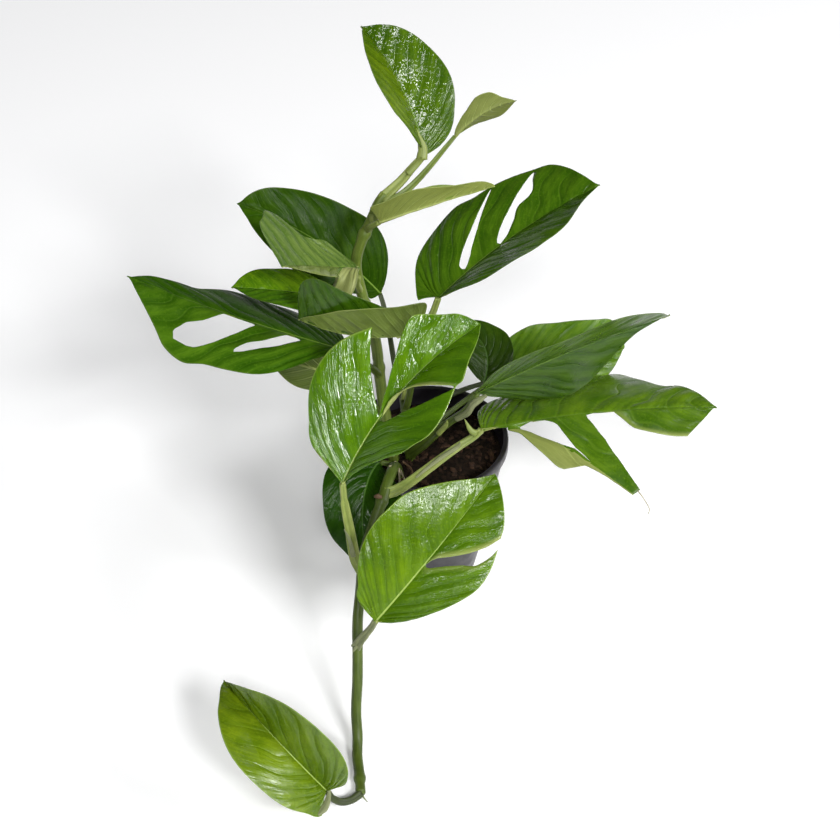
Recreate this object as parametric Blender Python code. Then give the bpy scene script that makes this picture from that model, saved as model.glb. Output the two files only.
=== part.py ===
# Potted monstera: a trailing, split-leaved vine in a black nursery pot.
# Metres, +Z up. The origin is the centre of the pot's base, on the surface it stands on.
# The trailing vine leaves the pot towards -Y and its end lies on that surface.

import math

import bmesh
import bpy
from mathutils import Vector

# ---------------------------------------------------------------- driving dimensions

GAP = 0.0003                    # clearance between neighbouring solids
WELD_DISTANCE = 0.00002         # corners of a blade closer than this are one
SHARP_ANGLE = 40                # edges bent further than this stay sharp, in degrees

POT_HEIGHT = 0.130
POT_RIM_RADIUS = 0.060
POT_NECK_RADIUS = 0.0578        # outer radius just under the collar
POT_BASE_RADIUS = 0.038
POT_WALL = 0.0016
POT_FLOOR = 0.0025
COLLAR_HEIGHT = 0.008
COLLAR_WIDTH = 0.004
POT_SIDES = 30
DRAIN_HOLES = 5
DRAIN_RADIUS = 0.004
DRAIN_CIRCLE = 0.024
DRAIN_SIDES = 10

SOIL_TOP = 0.115
SOIL_CROWN = 0.003              # how much the middle of the soil stands above its edge
SOIL_RINGS = 4

BLADE_THICKNESS = 0.0009
BLADE_ROWS = 11                 # cells along a half blade
BLADE_COLUMNS = 5               # cells from midrib to margin
ROW_CLEARANCE = 0.4             # rows closer to a split than this share of a cell are left out
MARGIN_EASE = 0.75              # how much closer the rows stand at the base and the tip
VEIN_SWEEP = 2.8                # how strongly the side veins lean towards the tip
SLOPE_STEP = 0.001              # share of the midrib over which its slope is read
BEND_STEPS = 8                  # chords that follow the bend of a half blade
ROLL_EASE = 0.06                # length of margin over which a roll begins and ends
SPLIT_SPAN = 0.85               # share of the blade over which a split moves the rows apart

STEM_SIDES = 8
STEM_STEP = 0.011               # distance between the rings of a stem
PETIOLE_END_GAP = 0.0006        # between a leaf stalk and its blade

# ---------------------------------------------------------------- stems

# Each stem has its route, its radius at both ends and the stems that it grows from.
STEMS = {
    "vine_climbing": {
        "route": [(-0.025, -0.016, 0.103), (-0.029, -0.010, 0.130), (-0.034, -0.002, 0.158),
                  (-0.037, 0.006, 0.182), (-0.040, 0.014, 0.212), (-0.048, 0.024, 0.241),
                  (-0.053, 0.031, 0.266), (-0.049, 0.035, 0.285), (-0.042, 0.040, 0.299),
                  (-0.037, 0.046, 0.309), (-0.032, 0.050, 0.315)],
        "radius": (0.0044, 0.0038), "colour": "stem_olive"},
    "vine_short": {
        "route": [(-0.014, -0.013, 0.103), (-0.015, -0.009, 0.124), (-0.017, -0.002, 0.143),
                  (-0.019, 0.006, 0.161)],
        "radius": (0.0042, 0.0036), "colour": "stem_olive"},
    "vine_trailing": {
        "route": [(-0.022, -0.027, 0.103), (-0.024, -0.033, 0.125), (-0.026, -0.044, 0.139),
                  (-0.028, -0.055, 0.144), (-0.031, -0.068, 0.144), (-0.035, -0.081, 0.138),
                  (-0.042, -0.094, 0.124), (-0.048, -0.106, 0.107), (-0.050, -0.122, 0.091),
                  (-0.052, -0.137, 0.076), (-0.052, -0.151, 0.061), (-0.052, -0.165, 0.044),
                  (-0.053, -0.179, 0.025), (-0.052, -0.191, 0.011), (-0.052, -0.204, 0.0052),
                  (-0.050, -0.220, 0.0040), (-0.049, -0.235, 0.0040)],
        "radius": (0.0042, 0.0036), "colour": "stem_olive"},
    "petiole_top": {
        "route": [(-0.032, 0.050, 0.315), (-0.021, 0.055, 0.322), (-0.014, 0.059, 0.329),
                  (-0.005, 0.064, 0.337)],
        "radius": (0.0037, 0.0024), "colour": "stem_pale", "blade": "leaf_top",
        "hosts": ["vine_climbing"]},
    "petiole_newest": {
        "route": [(-0.035, 0.047, 0.311), (-0.024, 0.047, 0.314), (-0.013, 0.053, 0.320),
                  (0.000, 0.066, 0.328), (0.011, 0.078, 0.336), (0.017, 0.084, 0.341)],
        "radius": (0.0030, 0.0018), "colour": "stem_pale", "blade": "leaf_newest",
        "hosts": ["vine_climbing", "petiole_top"]},
    "petiole_folded": {
        "route": [(-0.045, 0.037, 0.293), (-0.042, 0.030, 0.301), (-0.037, 0.025, 0.307)],
        "radius": (0.0026, 0.0022), "colour": "stem_pale", "blade": "leaf_folded",
        "hosts": ["vine_climbing"]},
    "petiole_upper_right": {
        "route": [(-0.019, 0.006, 0.161), (-0.014, 0.016, 0.183), (-0.006, 0.024, 0.206),
                  (0.002, 0.029, 0.225), (0.006, 0.030, 0.237)],
        "radius": (0.0034, 0.0026), "colour": "stem_pale", "blade": "leaf_upper_right",
        "hosts": ["vine_short"]},
    "petiole_upper_left": {
        "route": [(-0.018, 0.003, 0.151), (-0.025, 0.022, 0.173), (-0.030, 0.038, 0.198),
                  (-0.034, 0.049, 0.215), (-0.037, 0.054, 0.223)],
        "radius": (0.0024, 0.0020), "colour": "stem_dark", "blade": "leaf_upper_left",
        "hosts": ["vine_short", "petiole_upper_right"]},
    "petiole_half_rolled": {
        "route": [(-0.050, 0.026, 0.247), (-0.052, 0.018, 0.260), (-0.051, 0.015, 0.268)],
        "radius": (0.0026, 0.0022), "colour": "stem_pale", "blade": "leaf_half_rolled",
        "hosts": ["vine_climbing"]},
    "petiole_left_back": {
        "route": [(-0.046, 0.022, 0.236), (-0.054, 0.020, 0.241), (-0.061, 0.018, 0.245)],
        "radius": (0.0024, 0.0020), "colour": "stem_olive", "blade": "leaf_left_back",
        "hosts": ["vine_climbing"]},
    "petiole_left_split": {
        "route": [(-0.037, 0.007, 0.184), (-0.041, -0.001, 0.196), (-0.050, -0.008, 0.210),
                  (-0.060, -0.010, 0.221)],
        "radius": (0.0030, 0.0024), "colour": "stem_olive", "blade": "leaf_left_split",
        "hosts": ["vine_climbing"]},
    "petiole_centre_raised": {
        "route": [(-0.018, 0.003, 0.154), (-0.015, -0.006, 0.176), (-0.012, -0.011, 0.205),
                  (-0.010, -0.010, 0.234)],
        "radius": (0.0028, 0.0022), "colour": "stem_olive", "blade": "leaf_centre_raised",
        "hosts": ["vine_short", "petiole_upper_right", "petiole_upper_left"]},
    "petiole_centre_front": {
        "route": [(-0.049, -0.111, 0.101), (-0.054, -0.110, 0.115), (-0.057, -0.107, 0.139),
                  (-0.060, -0.103, 0.160), (-0.061, -0.100, 0.175)],
        "radius": (0.0040, 0.0023), "colour": "stem_pale", "blade": "leaf_centre_front",
        "hosts": ["vine_trailing"]},
    "petiole_centre_dark": {
        "route": [(-0.017, -0.001, 0.143), (0.000, 0.011, 0.150), (0.022, 0.018, 0.159),
                  (0.040, 0.020, 0.165)],
        "radius": (0.0024, 0.0020), "colour": "stem_dark", "blade": "leaf_centre_dark",
        "hosts": ["vine_short"]},
    "petiole_right_long": {
        "route": [(-0.015, -0.010, 0.120), (-0.003, -0.018, 0.139), (0.010, -0.024, 0.161),
                  (0.026, -0.033, 0.185), (0.033, -0.035, 0.202)],
        "radius": (0.0040, 0.0024), "colour": "stem_olive", "blade": "leaf_right_long",
        "hosts": ["vine_short"]},
    "petiole_right_back": {
        "route": [(-0.016, -0.006, 0.131), (0.005, 0.010, 0.135), (0.031, 0.028, 0.145),
                  (0.053, 0.041, 0.155)],
        "radius": (0.0024, 0.0020), "colour": "stem_olive", "blade": "leaf_right_back",
        "hosts": ["vine_short", "petiole_right_long"]},
    "petiole_right_split": {
        "route": [(-0.033, -0.074, 0.141), (-0.025, -0.071, 0.141), (-0.013, -0.068, 0.148),
                  (0.007, -0.061, 0.162), (0.021, -0.055, 0.170), (0.031, -0.051, 0.175),
                  (0.035, -0.050, 0.179)],
        "radius": (0.0042, 0.0028), "colour": "stem_pale", "blade": "leaf_right_split",
        "hosts": ["vine_trailing"]},
    "petiole_front_bright": {
        "route": [(-0.052, -0.150, 0.063), (-0.048, -0.154, 0.076), (-0.042, -0.157, 0.089),
                  (-0.039, -0.159, 0.098)],
        "radius": (0.0034, 0.0026), "colour": "stem_pale", "blade": "leaf_front_bright",
        "hosts": ["vine_trailing"]},
    "petiole_pot_front": {
        "route": [(-0.025, -0.036, 0.129), (-0.030, -0.037, 0.135), (-0.036, -0.038, 0.138)],
        "radius": (0.0028, 0.0022), "colour": "stem_olive", "blade": "leaf_pot_front",
        "hosts": ["vine_trailing"]},
    "petiole_floor": {
        "route": [(-0.049, -0.235, 0.0040), (-0.055, -0.241, 0.0048), (-0.062, -0.244, 0.0065),
                  (-0.068, -0.245, 0.012), (-0.071, -0.244, 0.018)],
        "radius": (0.0032, 0.0024), "colour": "stem_pale", "blade": "leaf_floor",
        "hosts": ["vine_trailing"]},
    "petiole_left_low": {
        "route": [(-0.031, -0.007, 0.142), (-0.042, -0.003, 0.166), (-0.051, -0.001, 0.179),
                  (-0.056, 0.000, 0.186)],
        "radius": (0.0024, 0.0020), "colour": "stem_olive", "blade": "leaf_left_low",
        "hosts": ["vine_climbing"]},
}

# ---------------------------------------------------------------- leaf blades

# base, tip   ends of the midrib
# face        the way the upper side looks
# arch, sway  bow of the midrib along face and sideways, as a share of its length
# width       half widths, left and right of the midrib when seen from above, base down
# fold, curl  how far each half is raised at the midrib, and bends on from there, in degrees
# blunt       how full the outline is at the base (small is full)
# taper       how slender the tip is (large is slender)
# bow         how much the side veins bend forwards on their way out (1 is straight)
# splits      openings: side, place on the margin, start and end from midrib to margin,
#             width towards the base and the tip, roundness at the two ends
# rolls       stretches of margin that roll over: side, from, to, start, degrees
LEAF_DEFAULTS = {
    "arch": 0.05, "sway": 0.0, "fold": (18, 18), "curl": (-15, -15),
    "blunt": (0.6, 0.6), "taper": (0.9, 0.9), "twist": 0, "crest": 0.5, "bow": 1.3,
    "splits": [], "rolls": [], "colour": "leaf_green"}

LEAVES = {
    "leaf_top": {
        "base": (-0.004, 0.065, 0.338), "tip": (-0.048, 0.120, 0.408), "face": (0.56, -0.45, 0.70),
        "sway": -0.04, "width": (0.034, 0.037), "fold": (40, 28), "curl": (-20, -10),
        "blunt": (0.75, 0.6), "taper": (0.75, 0.75), "twist": -10},
    "leaf_newest": {
        "base": (0.018, 0.085, 0.341), "tip": (0.060, 0.100, 0.361), "face": (-0.40, 0.90, 0.17),
        "arch": 0.07, "sway": -0.04, "width": (0.013, 0.013), "fold": (26, 18),
        "blunt": (0.65, 0.6), "taper": (0.65, 0.8), "twist": -5, "colour": "leaf_olive"},
    "leaf_folded": {
        "base": (-0.035, 0.024, 0.309), "tip": (0.045, 0.040, 0.328), "face": (-0.27, 0.21, 0.94),
        "arch": 0.04, "sway": -0.08, "width": (0.022, 0.023), "fold": (82, 54), "curl": (-12, -16),
        "blunt": (0.55, 0.4), "taper": (0.95, 0.9), "colour": "leaf_olive"},
    "leaf_upper_right": {
        "base": (0.006, 0.030, 0.238), "tip": (0.124, 0.090, 0.296), "face": (-0.43, -0.02, 0.90),
        "arch": -0.02, "sway": 0.10, "width": (0.055, 0.050), "fold": (18, 24), "curl": (-15, -10),
        "blunt": (0.45, 0.55), "taper": (0.6, 0.85), "twist": 10,
        "splits": [("left", 0.52, 0.16, 1.04, 0.045, 0.045, 0.4, 0.9),
                   ("left", 0.75, 0.12, 1.04, 0.05, 0.05, 0.6, 0.6)]},
    "leaf_upper_left": {
        "base": (-0.037, 0.055, 0.224), "tip": (-0.140, 0.075, 0.290), "face": (0.32, -0.65, 0.69),
        "sway": -0.05, "width": (0.032, 0.035), "fold": (22, 18),
        "blunt": (0.7, 0.5), "taper": (0.85, 0.75)},
    "leaf_half_rolled": {
        "base": (-0.051, 0.015, 0.269), "tip": (-0.102, -0.010, 0.290), "face": (0.47, -0.24, 0.85),
        "arch": -0.08, "sway": -0.08, "width": (0.043, 0.048), "fold": (78, -6), "curl": (-20, 0),
        "blunt": (0.55, 0.75), "taper": (0.95, 0.2), "twist": -5, "bow": 1.0},
    "leaf_left_back": {
        "base": (-0.061, 0.018, 0.246), "tip": (-0.142, 0.022, 0.254), "face": (0.09, -0.19, 0.98),
        "sway": 0.02, "width": (0.021, 0.020), "fold": (18, 14),
        "blunt": (0.55, 0.7), "taper": (0.95, 0.6)},
    "leaf_left_split": {
        "base": (-0.061, -0.010, 0.222), "tip": (-0.211, 0.000, 0.280), "face": (0.37, 0.11, 0.92),
        "arch": -0.03, "sway": -0.02, "width": (0.055, 0.050), "fold": (0, -6), "curl": (-30, -15),
        "blunt": (0.85, 0.55), "taper": (0.8, 1.05), "twist": -5, "bow": 1.0,
        "splits": [("left", 0.70, 0.10, 0.80, 0.065, 0.065, 0.9, 0.6),
                   ("left", 0.54, 0.12, 0.75, 0.035, 0.035, 0.5, 0.6)]},
    "leaf_centre_raised": {
        "base": (-0.011, -0.010, 0.236), "tip": (-0.093, -0.010, 0.250), "face": (0.17, -0.27, 0.95),
        "arch": 0.10, "sway": 0.17, "width": (0.038, 0.039), "fold": (92, 70),
        "blunt": (0.45, 0.75), "taper": (1.05, 0.45), "twist": -5, "bow": 1.0},
    "leaf_centre_front": {
        "base": (-0.061, -0.100, 0.176), "tip": (0.034, -0.045, 0.273), "face": (-0.40, -0.58, 0.72),
        "arch": 0.03, "sway": 0.07, "width": (0.054, 0.049), "fold": (24, 32), "curl": (-10, -20),
        "blunt": (0.7, 0.85), "taper": (1.0, 0.95), "bow": 1.0, "colour": "leaf_bright",
        "splits": [("left", 0.68, 0.10, 1.1, 0.07, 0.07, 0.7, 0.0),
                   ("right", 0.67, 0.04, 1.03, 0.06, 0.06, 0.5, 0.8)]},
    "leaf_centre_dark": {
        "base": (0.041, 0.020, 0.166), "tip": (0.019, 0.060, 0.190), "face": (-0.02, -0.52, 0.85),
        "arch": 0.06, "sway": -0.24, "width": (0.018, 0.019),
        "blunt": (0.55, 0.6), "taper": (0.95, 0.95), "colour": "leaf_dark"},
    "leaf_right_long": {
        "base": (0.034, -0.035, 0.203), "tip": (0.169, 0.000, 0.245), "face": (0.30, -0.94, -0.18),
        "arch": 0.08, "sway": 0.14, "width": (0.041, 0.042), "fold": (28, 8), "curl": (-10, -5),
        "blunt": (0.6, 0.7), "taper": (0.8, 1.4)},
    "leaf_right_back": {
        "base": (0.054, 0.042, 0.155), "tip": (0.153, 0.062, 0.166), "face": (0.09, -0.78, 0.62),
        "arch": 0.07, "width": (0.033, 0.032), "fold": (22, 18),
        "blunt": (0.3, 0.55), "taper": (0.35, 0.85), "twist": 5},
    "leaf_right_split": {
        "base": (0.037, -0.050, 0.181), "tip": (0.209, -0.020, 0.176), "face": (0.05, -0.09, 1.00),
        "arch": 0.02, "sway": 0.02, "width": (0.070, 0.077), "fold": (-16, -2), "curl": (-30, -20),
        "blunt": (0.5, 0.65), "taper": (0.75, 1.1), "twist": 10,
        "splits": [("right", 0.77, 0.03, 1.1, 0.13, 0.03, 0.5, 0.0),
                   ("right", 0.50, 0.04, 0.72, 0.24, 0.08, 0.5, 0.5)],
        "rolls": [("right", 0.0, 0.5, 0.6, 90)]},
    "leaf_front_bright": {
        "base": (-0.038, -0.160, 0.100), "tip": (0.045, -0.095, 0.180), "face": (-0.04, -0.75, 0.66),
        "arch": 0.04, "sway": -0.01, "width": (0.045, 0.039), "fold": (14, 16),
        "blunt": (0.65, 0.8), "taper": (0.95, 0.8), "bow": 1.1, "colour": "leaf_bright",
        "splits": [("right", 0.70, 0.08, 1.03, 0.035, 0.035, 0.6, 0.7)]},
    "leaf_pot_front": {
        "base": (-0.037, -0.038, 0.138), "tip": (-0.040, -0.100, 0.069), "face": (-0.14, -0.74, 0.66),
        "arch": 0.20, "sway": -0.09, "width": (0.030, 0.031), "fold": (0, 8), "curl": (-5, -10),
        "blunt": (0.55, 0.4), "taper": (0.95, 1.25), "crest": 0.4, "colour": "leaf_dark"},
    "leaf_floor": {
        "base": (-0.072, -0.244, 0.020), "tip": (-0.146, -0.176, 0.055), "face": (-0.15, -0.58, 0.80),
        "arch": 0.21, "sway": -0.02, "width": (0.036, 0.036), "fold": (46, 46), "curl": (-10, -15),
        "blunt": (0.4, 0.35), "taper": (0.85, 1.05), "twist": -5, "colour": "leaf_bright"},
    "leaf_left_low": {
        "base": (-0.057, 0.000, 0.187), "tip": (-0.124, 0.020, 0.196), "face": (0.27, 0.96, -0.11),
        "arch": 0.03, "sway": -0.04, "width": (0.020, 0.021), "fold": (18, 10),
        "blunt": (0.55, 0.6), "taper": (0.95, 0.85), "colour": "leaf_olive"},
}

MATERIALS = {
    "leaf_green": {"colour": (0.055, 0.135, 0.010), "roughness": 0.28},
    "leaf_dark": {"colour": (0.025, 0.070, 0.008), "roughness": 0.25},
    "leaf_bright": {"colour": (0.140, 0.300, 0.012), "roughness": 0.30},
    "leaf_olive": {"colour": (0.300, 0.340, 0.090), "roughness": 0.50},
    "stem_pale": {"colour": (0.290, 0.370, 0.110), "roughness": 0.45},
    "stem_olive": {"colour": (0.130, 0.160, 0.045), "roughness": 0.50},
    "stem_dark": {"colour": (0.045, 0.060, 0.020), "roughness": 0.45},
    "pot_black": {"colour": (0.022, 0.020, 0.026), "roughness": 0.40},
    "soil_brown": {"colour": (0.035, 0.020, 0.013), "roughness": 0.95},
}


# ---------------------------------------------------------------- shared helpers

def clear_scene():
    for thing in list(bpy.data.objects):
        bpy.data.objects.remove(thing, do_unlink=True)


def make_material(name):
    look = MATERIALS[name]
    material = bpy.data.materials.new(name)
    material.use_nodes = True
    shader = material.node_tree.nodes["Principled BSDF"]
    shader.inputs["Base Color"].default_value = (*look["colour"], 1.0)
    shader.inputs["Roughness"].default_value = look["roughness"]
    shader.inputs["Metallic"].default_value = 0.0
    return material


def add_object(name, mesh_builder, material_name, origin=(0.0, 0.0, 0.0)):
    """Turns a bmesh into a named, smooth-shaded object with its own material."""
    bmesh.ops.translate(mesh_builder, verts=mesh_builder.verts, vec=-Vector(origin))
    mesh = bpy.data.meshes.new(name)
    mesh_builder.to_mesh(mesh)
    mesh_builder.free()
    mesh.shade_smooth()
    mesh.set_sharp_from_angle(angle=math.radians(SHARP_ANGLE))
    thing = bpy.data.objects.new(name, mesh)
    thing.location = origin
    bpy.context.scene.collection.objects.link(thing)
    mesh.materials.append(make_material(material_name))
    return thing


def cut_with(target, cutter):
    cutter.hide_render = True
    cutter.display_type = "WIRE"
    modifier = target.modifiers.new("cut_" + cutter.name, "BOOLEAN")
    modifier.operation = "DIFFERENCE"
    modifier.solver = "EXACT"
    modifier.object = cutter


def smooth_route(points, step):
    """Points about one step apart along a smooth curve through the given ones."""
    knots = [Vector(point) for point in points]
    knots = [knots[0] * 2 - knots[1]] + knots + [knots[-1] * 2 - knots[-2]]
    route = []
    for before, start, end, after in zip(knots, knots[1:], knots[2:], knots[3:]):
        count = max(1, round((end - start).length / step))
        for index in range(count):
            t = index / count
            route.append(0.5 * (2 * start + (end - before) * t
                                + (2 * before - 5 * start + 4 * end - after) * t ** 2
                                + (3 * start - before - 3 * end + after) * t ** 3))
    route.append(knots[-2])
    return route


def tube(route, start_radius, end_radius, sides):
    """A closed tube along a route, its rings turned as little as possible."""
    builder = bmesh.new()
    tangents = []
    for index in range(len(route)):
        ahead = route[min(index + 1, len(route) - 1)]
        behind = route[max(index - 1, 0)]
        tangents.append((ahead - behind).normalized())
    side = tangents[0].orthogonal().normalized()
    rings = []
    for index, (centre, tangent) in enumerate(zip(route, tangents)):
        side = (side - tangent * side.dot(tangent)).normalized()
        across = tangent.cross(side)
        radius = start_radius + (end_radius - start_radius) * index / (len(route) - 1)
        ring = []
        for corner in range(sides):
            angle = 2 * math.pi * corner / sides
            offset = side * math.cos(angle) + across * math.sin(angle)
            ring.append(builder.verts.new(centre + offset * radius))
        rings.append(ring)
    for lower, upper in zip(rings, rings[1:]):
        for corner in range(sides):
            following = (corner + 1) % sides
            builder.faces.new((lower[corner], lower[following], upper[following], upper[corner]))
    builder.faces.new(reversed(rings[0]))
    builder.faces.new(rings[-1])
    return builder


def turned(profile, sides):
    """A solid of revolution about Z. The profile starts and ends on the axis, base first."""
    builder = bmesh.new()
    rings = []
    for radius, height in profile:
        if radius == 0.0:
            rings.append([builder.verts.new((0.0, 0.0, height))])
            continue
        ring = []
        for corner in range(sides):
            angle = 2 * math.pi * corner / sides
            ring.append(builder.verts.new((radius * math.cos(angle), radius * math.sin(angle), height)))
        rings.append(ring)
    for lower, upper in zip(rings, rings[1:]):
        for corner in range(sides):
            following = (corner + 1) % sides
            if len(lower) == 1:
                builder.faces.new((lower[0], upper[following], upper[corner]))
            elif len(upper) == 1:
                builder.faces.new((lower[corner], lower[following], upper[0]))
            else:
                builder.faces.new((lower[corner], lower[following], upper[following], upper[corner]))
    return builder


# ---------------------------------------------------------------- pot and soil

def wall_radius(height):
    """Outer radius of the tapered wall at a height."""
    share = height / (POT_HEIGHT - COLLAR_HEIGHT)
    return POT_BASE_RADIUS + (POT_NECK_RADIUS - POT_BASE_RADIUS) * share


def make_pot():
    collar_foot = POT_HEIGHT - COLLAR_HEIGHT
    rim_inside = POT_RIM_RADIUS - COLLAR_WIDTH
    profile = [
        (0.0, 0.0),
        (POT_BASE_RADIUS, 0.0),
        (wall_radius(collar_foot), collar_foot),
        (POT_RIM_RADIUS, collar_foot),
        (POT_RIM_RADIUS, POT_HEIGHT),
        (rim_inside, POT_HEIGHT),
        (wall_radius(collar_foot) - POT_WALL, collar_foot),
        (wall_radius(POT_FLOOR) - POT_WALL, POT_FLOOR),
        (0.0, POT_FLOOR)]
    pot = add_object("pot", turned(profile, POT_SIDES), "pot_black")
    for index in range(DRAIN_HOLES):
        angle = 2 * math.pi * (index + 0.5) / DRAIN_HOLES
        hole = tube([Vector((0, 0, -POT_FLOOR)), Vector((0, 0, 2 * POT_FLOOR))],
                    DRAIN_RADIUS, DRAIN_RADIUS, DRAIN_SIDES)
        cutter = add_object(f"drain_cutter_{index + 1}", hole, "pot_black")
        cutter.location = (DRAIN_CIRCLE * math.cos(angle), DRAIN_CIRCLE * math.sin(angle), 0.0)
        cut_with(pot, cutter)
    return pot


def make_soil():
    foot = POT_FLOOR + GAP
    clearance = POT_WALL + GAP
    profile = [
        (0.0, foot),
        (wall_radius(foot) - clearance, foot),
        (wall_radius(SOIL_TOP) - clearance, SOIL_TOP)]
    for ring in range(SOIL_RINGS - 1, 0, -1):
        share = ring / SOIL_RINGS
        profile.append((wall_radius(SOIL_TOP) * share, SOIL_TOP + SOIL_CROWN * (1 - share ** 2)))
    profile.append((0.0, SOIL_TOP + SOIL_CROWN))
    return add_object("soil", turned(profile, POT_SIDES), "soil_brown")


# ---------------------------------------------------------------- stems

def stem_route(name):
    stem = STEMS[name]
    route = smooth_route(stem["route"], STEM_STEP)
    if "blade" in stem:
        leaf = {**LEAF_DEFAULTS, **LEAVES[stem["blade"]]}
        base, along = midrib(leaf, 0.0)[:2]
        direction = (base - route[-2]).normalized()
        lean = math.sin(direction.angle(along))
        route[-1] = base - direction * (PETIOLE_END_GAP + stem["radius"][1] * lean)
    return route


def make_stem(name):
    stem = STEMS[name]
    route = stem_route(name)
    start_radius, end_radius = stem["radius"]
    return add_object(name, tube(route, start_radius, end_radius, STEM_SIDES), stem["colour"],
                      origin=route[0])


def stem_cutter(name):
    """The stem, a clearance wider and longer, to make room for it in a neighbour."""
    stem = STEMS[name]
    route = stem_route(name)
    route[0] = route[0] + (route[0] - route[1]).normalized() * GAP
    route[-1] = route[-1] + (route[-1] - route[-2]).normalized() * GAP
    start_radius, end_radius = stem["radius"]
    builder = tube(route, start_radius + GAP, end_radius + GAP, STEM_SIDES)
    return add_object(name + "_cutter", builder, stem["colour"], origin=route[0])


def make_stems(soil):
    cutters = {}
    for name in STEMS:
        thing = make_stem(name)
        if name.startswith("vine"):
            cutters[name] = stem_cutter(name)
            cut_with(soil, cutters[name])
        for host in STEMS[name].get("hosts", []):
            if host not in cutters:
                cutters[host] = stem_cutter(host)
            cut_with(thing, cutters[host])


# ---------------------------------------------------------------- leaf blades

def margin_place(t):
    """Share of the midrib's length at margin parameter t, closer together at the ends."""
    return MARGIN_EASE * (1 - math.cos(math.pi * t)) / 2 + (1 - MARGIN_EASE) * t


def midrib(leaf, x):
    """Point, direction, up and left vectors on the midrib at share x of its length."""
    base = Vector(leaf["base"])
    chord = Vector(leaf["tip"]) - base
    length = chord.length
    along = chord / length
    face = Vector(leaf["face"])
    up = (face - along * face.dot(along)).normalized()
    left = up.cross(along)
    power = math.log(0.5) / math.log(leaf["crest"])
    x = min(max(x, 0.0), 1.0)

    def bump(share):
        return 4 * share ** power * (1 - share ** power)

    ahead = min(x + SLOPE_STEP, 1.0)
    behind = max(x - SLOPE_STEP, 0.0)
    slope = (bump(ahead) - bump(behind)) / (ahead - behind)
    bow = up * leaf["arch"] + left * leaf["sway"]
    point = base + chord * x + bow * (bump(x) * length)
    tangent = (along + bow * slope).normalized()
    up_here = (up - tangent * up.dot(tangent)).normalized()
    left_here = up_here.cross(tangent)
    turn = math.radians(leaf["twist"]) * x
    return (point, tangent,
            up_here * math.cos(turn) - left_here * math.sin(turn),
            left_here * math.cos(turn) + up_here * math.sin(turn))


def half_width(leaf, side, x):
    blunt = leaf["blunt"][side]
    taper = leaf["taper"][side]
    widest = blunt / (blunt + taper)
    shape = x ** blunt * (1 - x) ** taper
    return leaf["width"][side] * shape / (widest ** blunt * (1 - widest) ** taper)


def blade_point(leaf, side, t, r):
    """A point on half a blade: t runs along the margin, r from midrib to margin."""
    t = min(max(t, 0.0), 1.0)
    on_margin = margin_place(t)
    on_midrib = on_margin ** VEIN_SWEEP
    x = on_midrib + (on_margin - on_midrib) * r ** leaf["bow"]
    reach = half_width(leaf, side, on_margin) * r
    point, _, up, left = midrib(leaf, x)
    outward = left if side == 0 else -left
    for step in range(BEND_STEPS):
        share = (step + 0.5) / BEND_STEPS
        bend = leaf["fold"][side] + leaf["curl"][side] * share * reach / leaf["width"][side]
        for roll_side, first, last, start, degrees in leaf["rolls"]:
            if side == ("left", "right").index(roll_side):
                begun = min(max((t - first) / ROLL_EASE, 0), 1)
                ended = min(max((last - t) / ROLL_EASE, 0), 1)
                bend += degrees * begun * ended * max((share * r - start) / (1 - start), 0.0)
        angle = math.radians(bend)
        point = point + (outward * math.cos(angle) + up * math.sin(angle)) * (reach / BEND_STEPS)
    return point


def split_gap(split, r):
    """How wide a split is open at r, as a share of its full width."""
    _, _, start, end, _, _, inner, outer = split
    z = (r - start) / (end - start)
    if z <= 0 or z >= 1:
        return 0.0
    if outer == 0:
        return z ** inner
    peak = inner / (inner + outer)
    return (z ** inner * (1 - z) ** outer) / (peak ** inner * (1 - peak) ** outer)


def opened(leaf, side, t, r, edge):
    """Margin parameter t with the rows near each split moved apart. Edge is -1 or 1 on a split."""
    moved = t
    for split in leaf["splits"]:
        if side != ("left", "right").index(split[0]):
            continue
        place = split[1]
        direction = edge if t == place else (-1 if t < place else 1)
        width = split[4] if direction < 0 else split[5]
        span = SPLIT_SPAN * (place if t < place or direction < 0 else 1 - place)
        moved += direction * width * split_gap(split, r) * max(1 - abs(t - place) / span, 0)
    return moved


def make_blade(name):
    leaf = {**LEAF_DEFAULTS, **LEAVES[name]}
    origin = Vector(leaf["base"])
    places = {row / BLADE_ROWS for row in range(1, BLADE_ROWS + 1)}
    for split in leaf["splits"]:
        places = {place for place in places if abs(place - split[1]) > ROW_CLEARANCE / BLADE_ROWS}
    places = sorted(places | {split[1] for split in leaf["splits"]})
    builder = bmesh.new()
    for side in (0, 1):
        for first, last in zip(places, places[1:]):
            rows = []
            for place, edge in ((first, 1), (last, -1)):
                row = []
                for column in range(BLADE_COLUMNS + 1):
                    r = column / BLADE_COLUMNS
                    t = opened(leaf, side, place, r, edge)
                    row.append(builder.verts.new(blade_point(leaf, side, t, r)))
                rows.append(row)
            for column in range(BLADE_COLUMNS):
                corners = [rows[0][column], rows[1][column], rows[1][column + 1], rows[0][column + 1]]
                builder.faces.new(corners if side == 0 else reversed(corners))
    bmesh.ops.remove_doubles(builder, verts=builder.verts, dist=WELD_DISTANCE)
    bmesh.ops.dissolve_degenerate(builder, edges=builder.edges, dist=WELD_DISTANCE)
    blade = add_object(name, builder, leaf["colour"], origin=origin)
    solid = blade.modifiers.new("thickness", "SOLIDIFY")
    solid.thickness = BLADE_THICKNESS
    solid.offset = 0.0
    return blade


# ---------------------------------------------------------------- assembly

clear_scene()
make_pot()
make_stems(make_soil())
for leaf_name in LEAVES:
    make_blade(leaf_name)
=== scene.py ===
import math
import random

import bpy
import numpy as np
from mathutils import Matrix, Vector, noise


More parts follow.
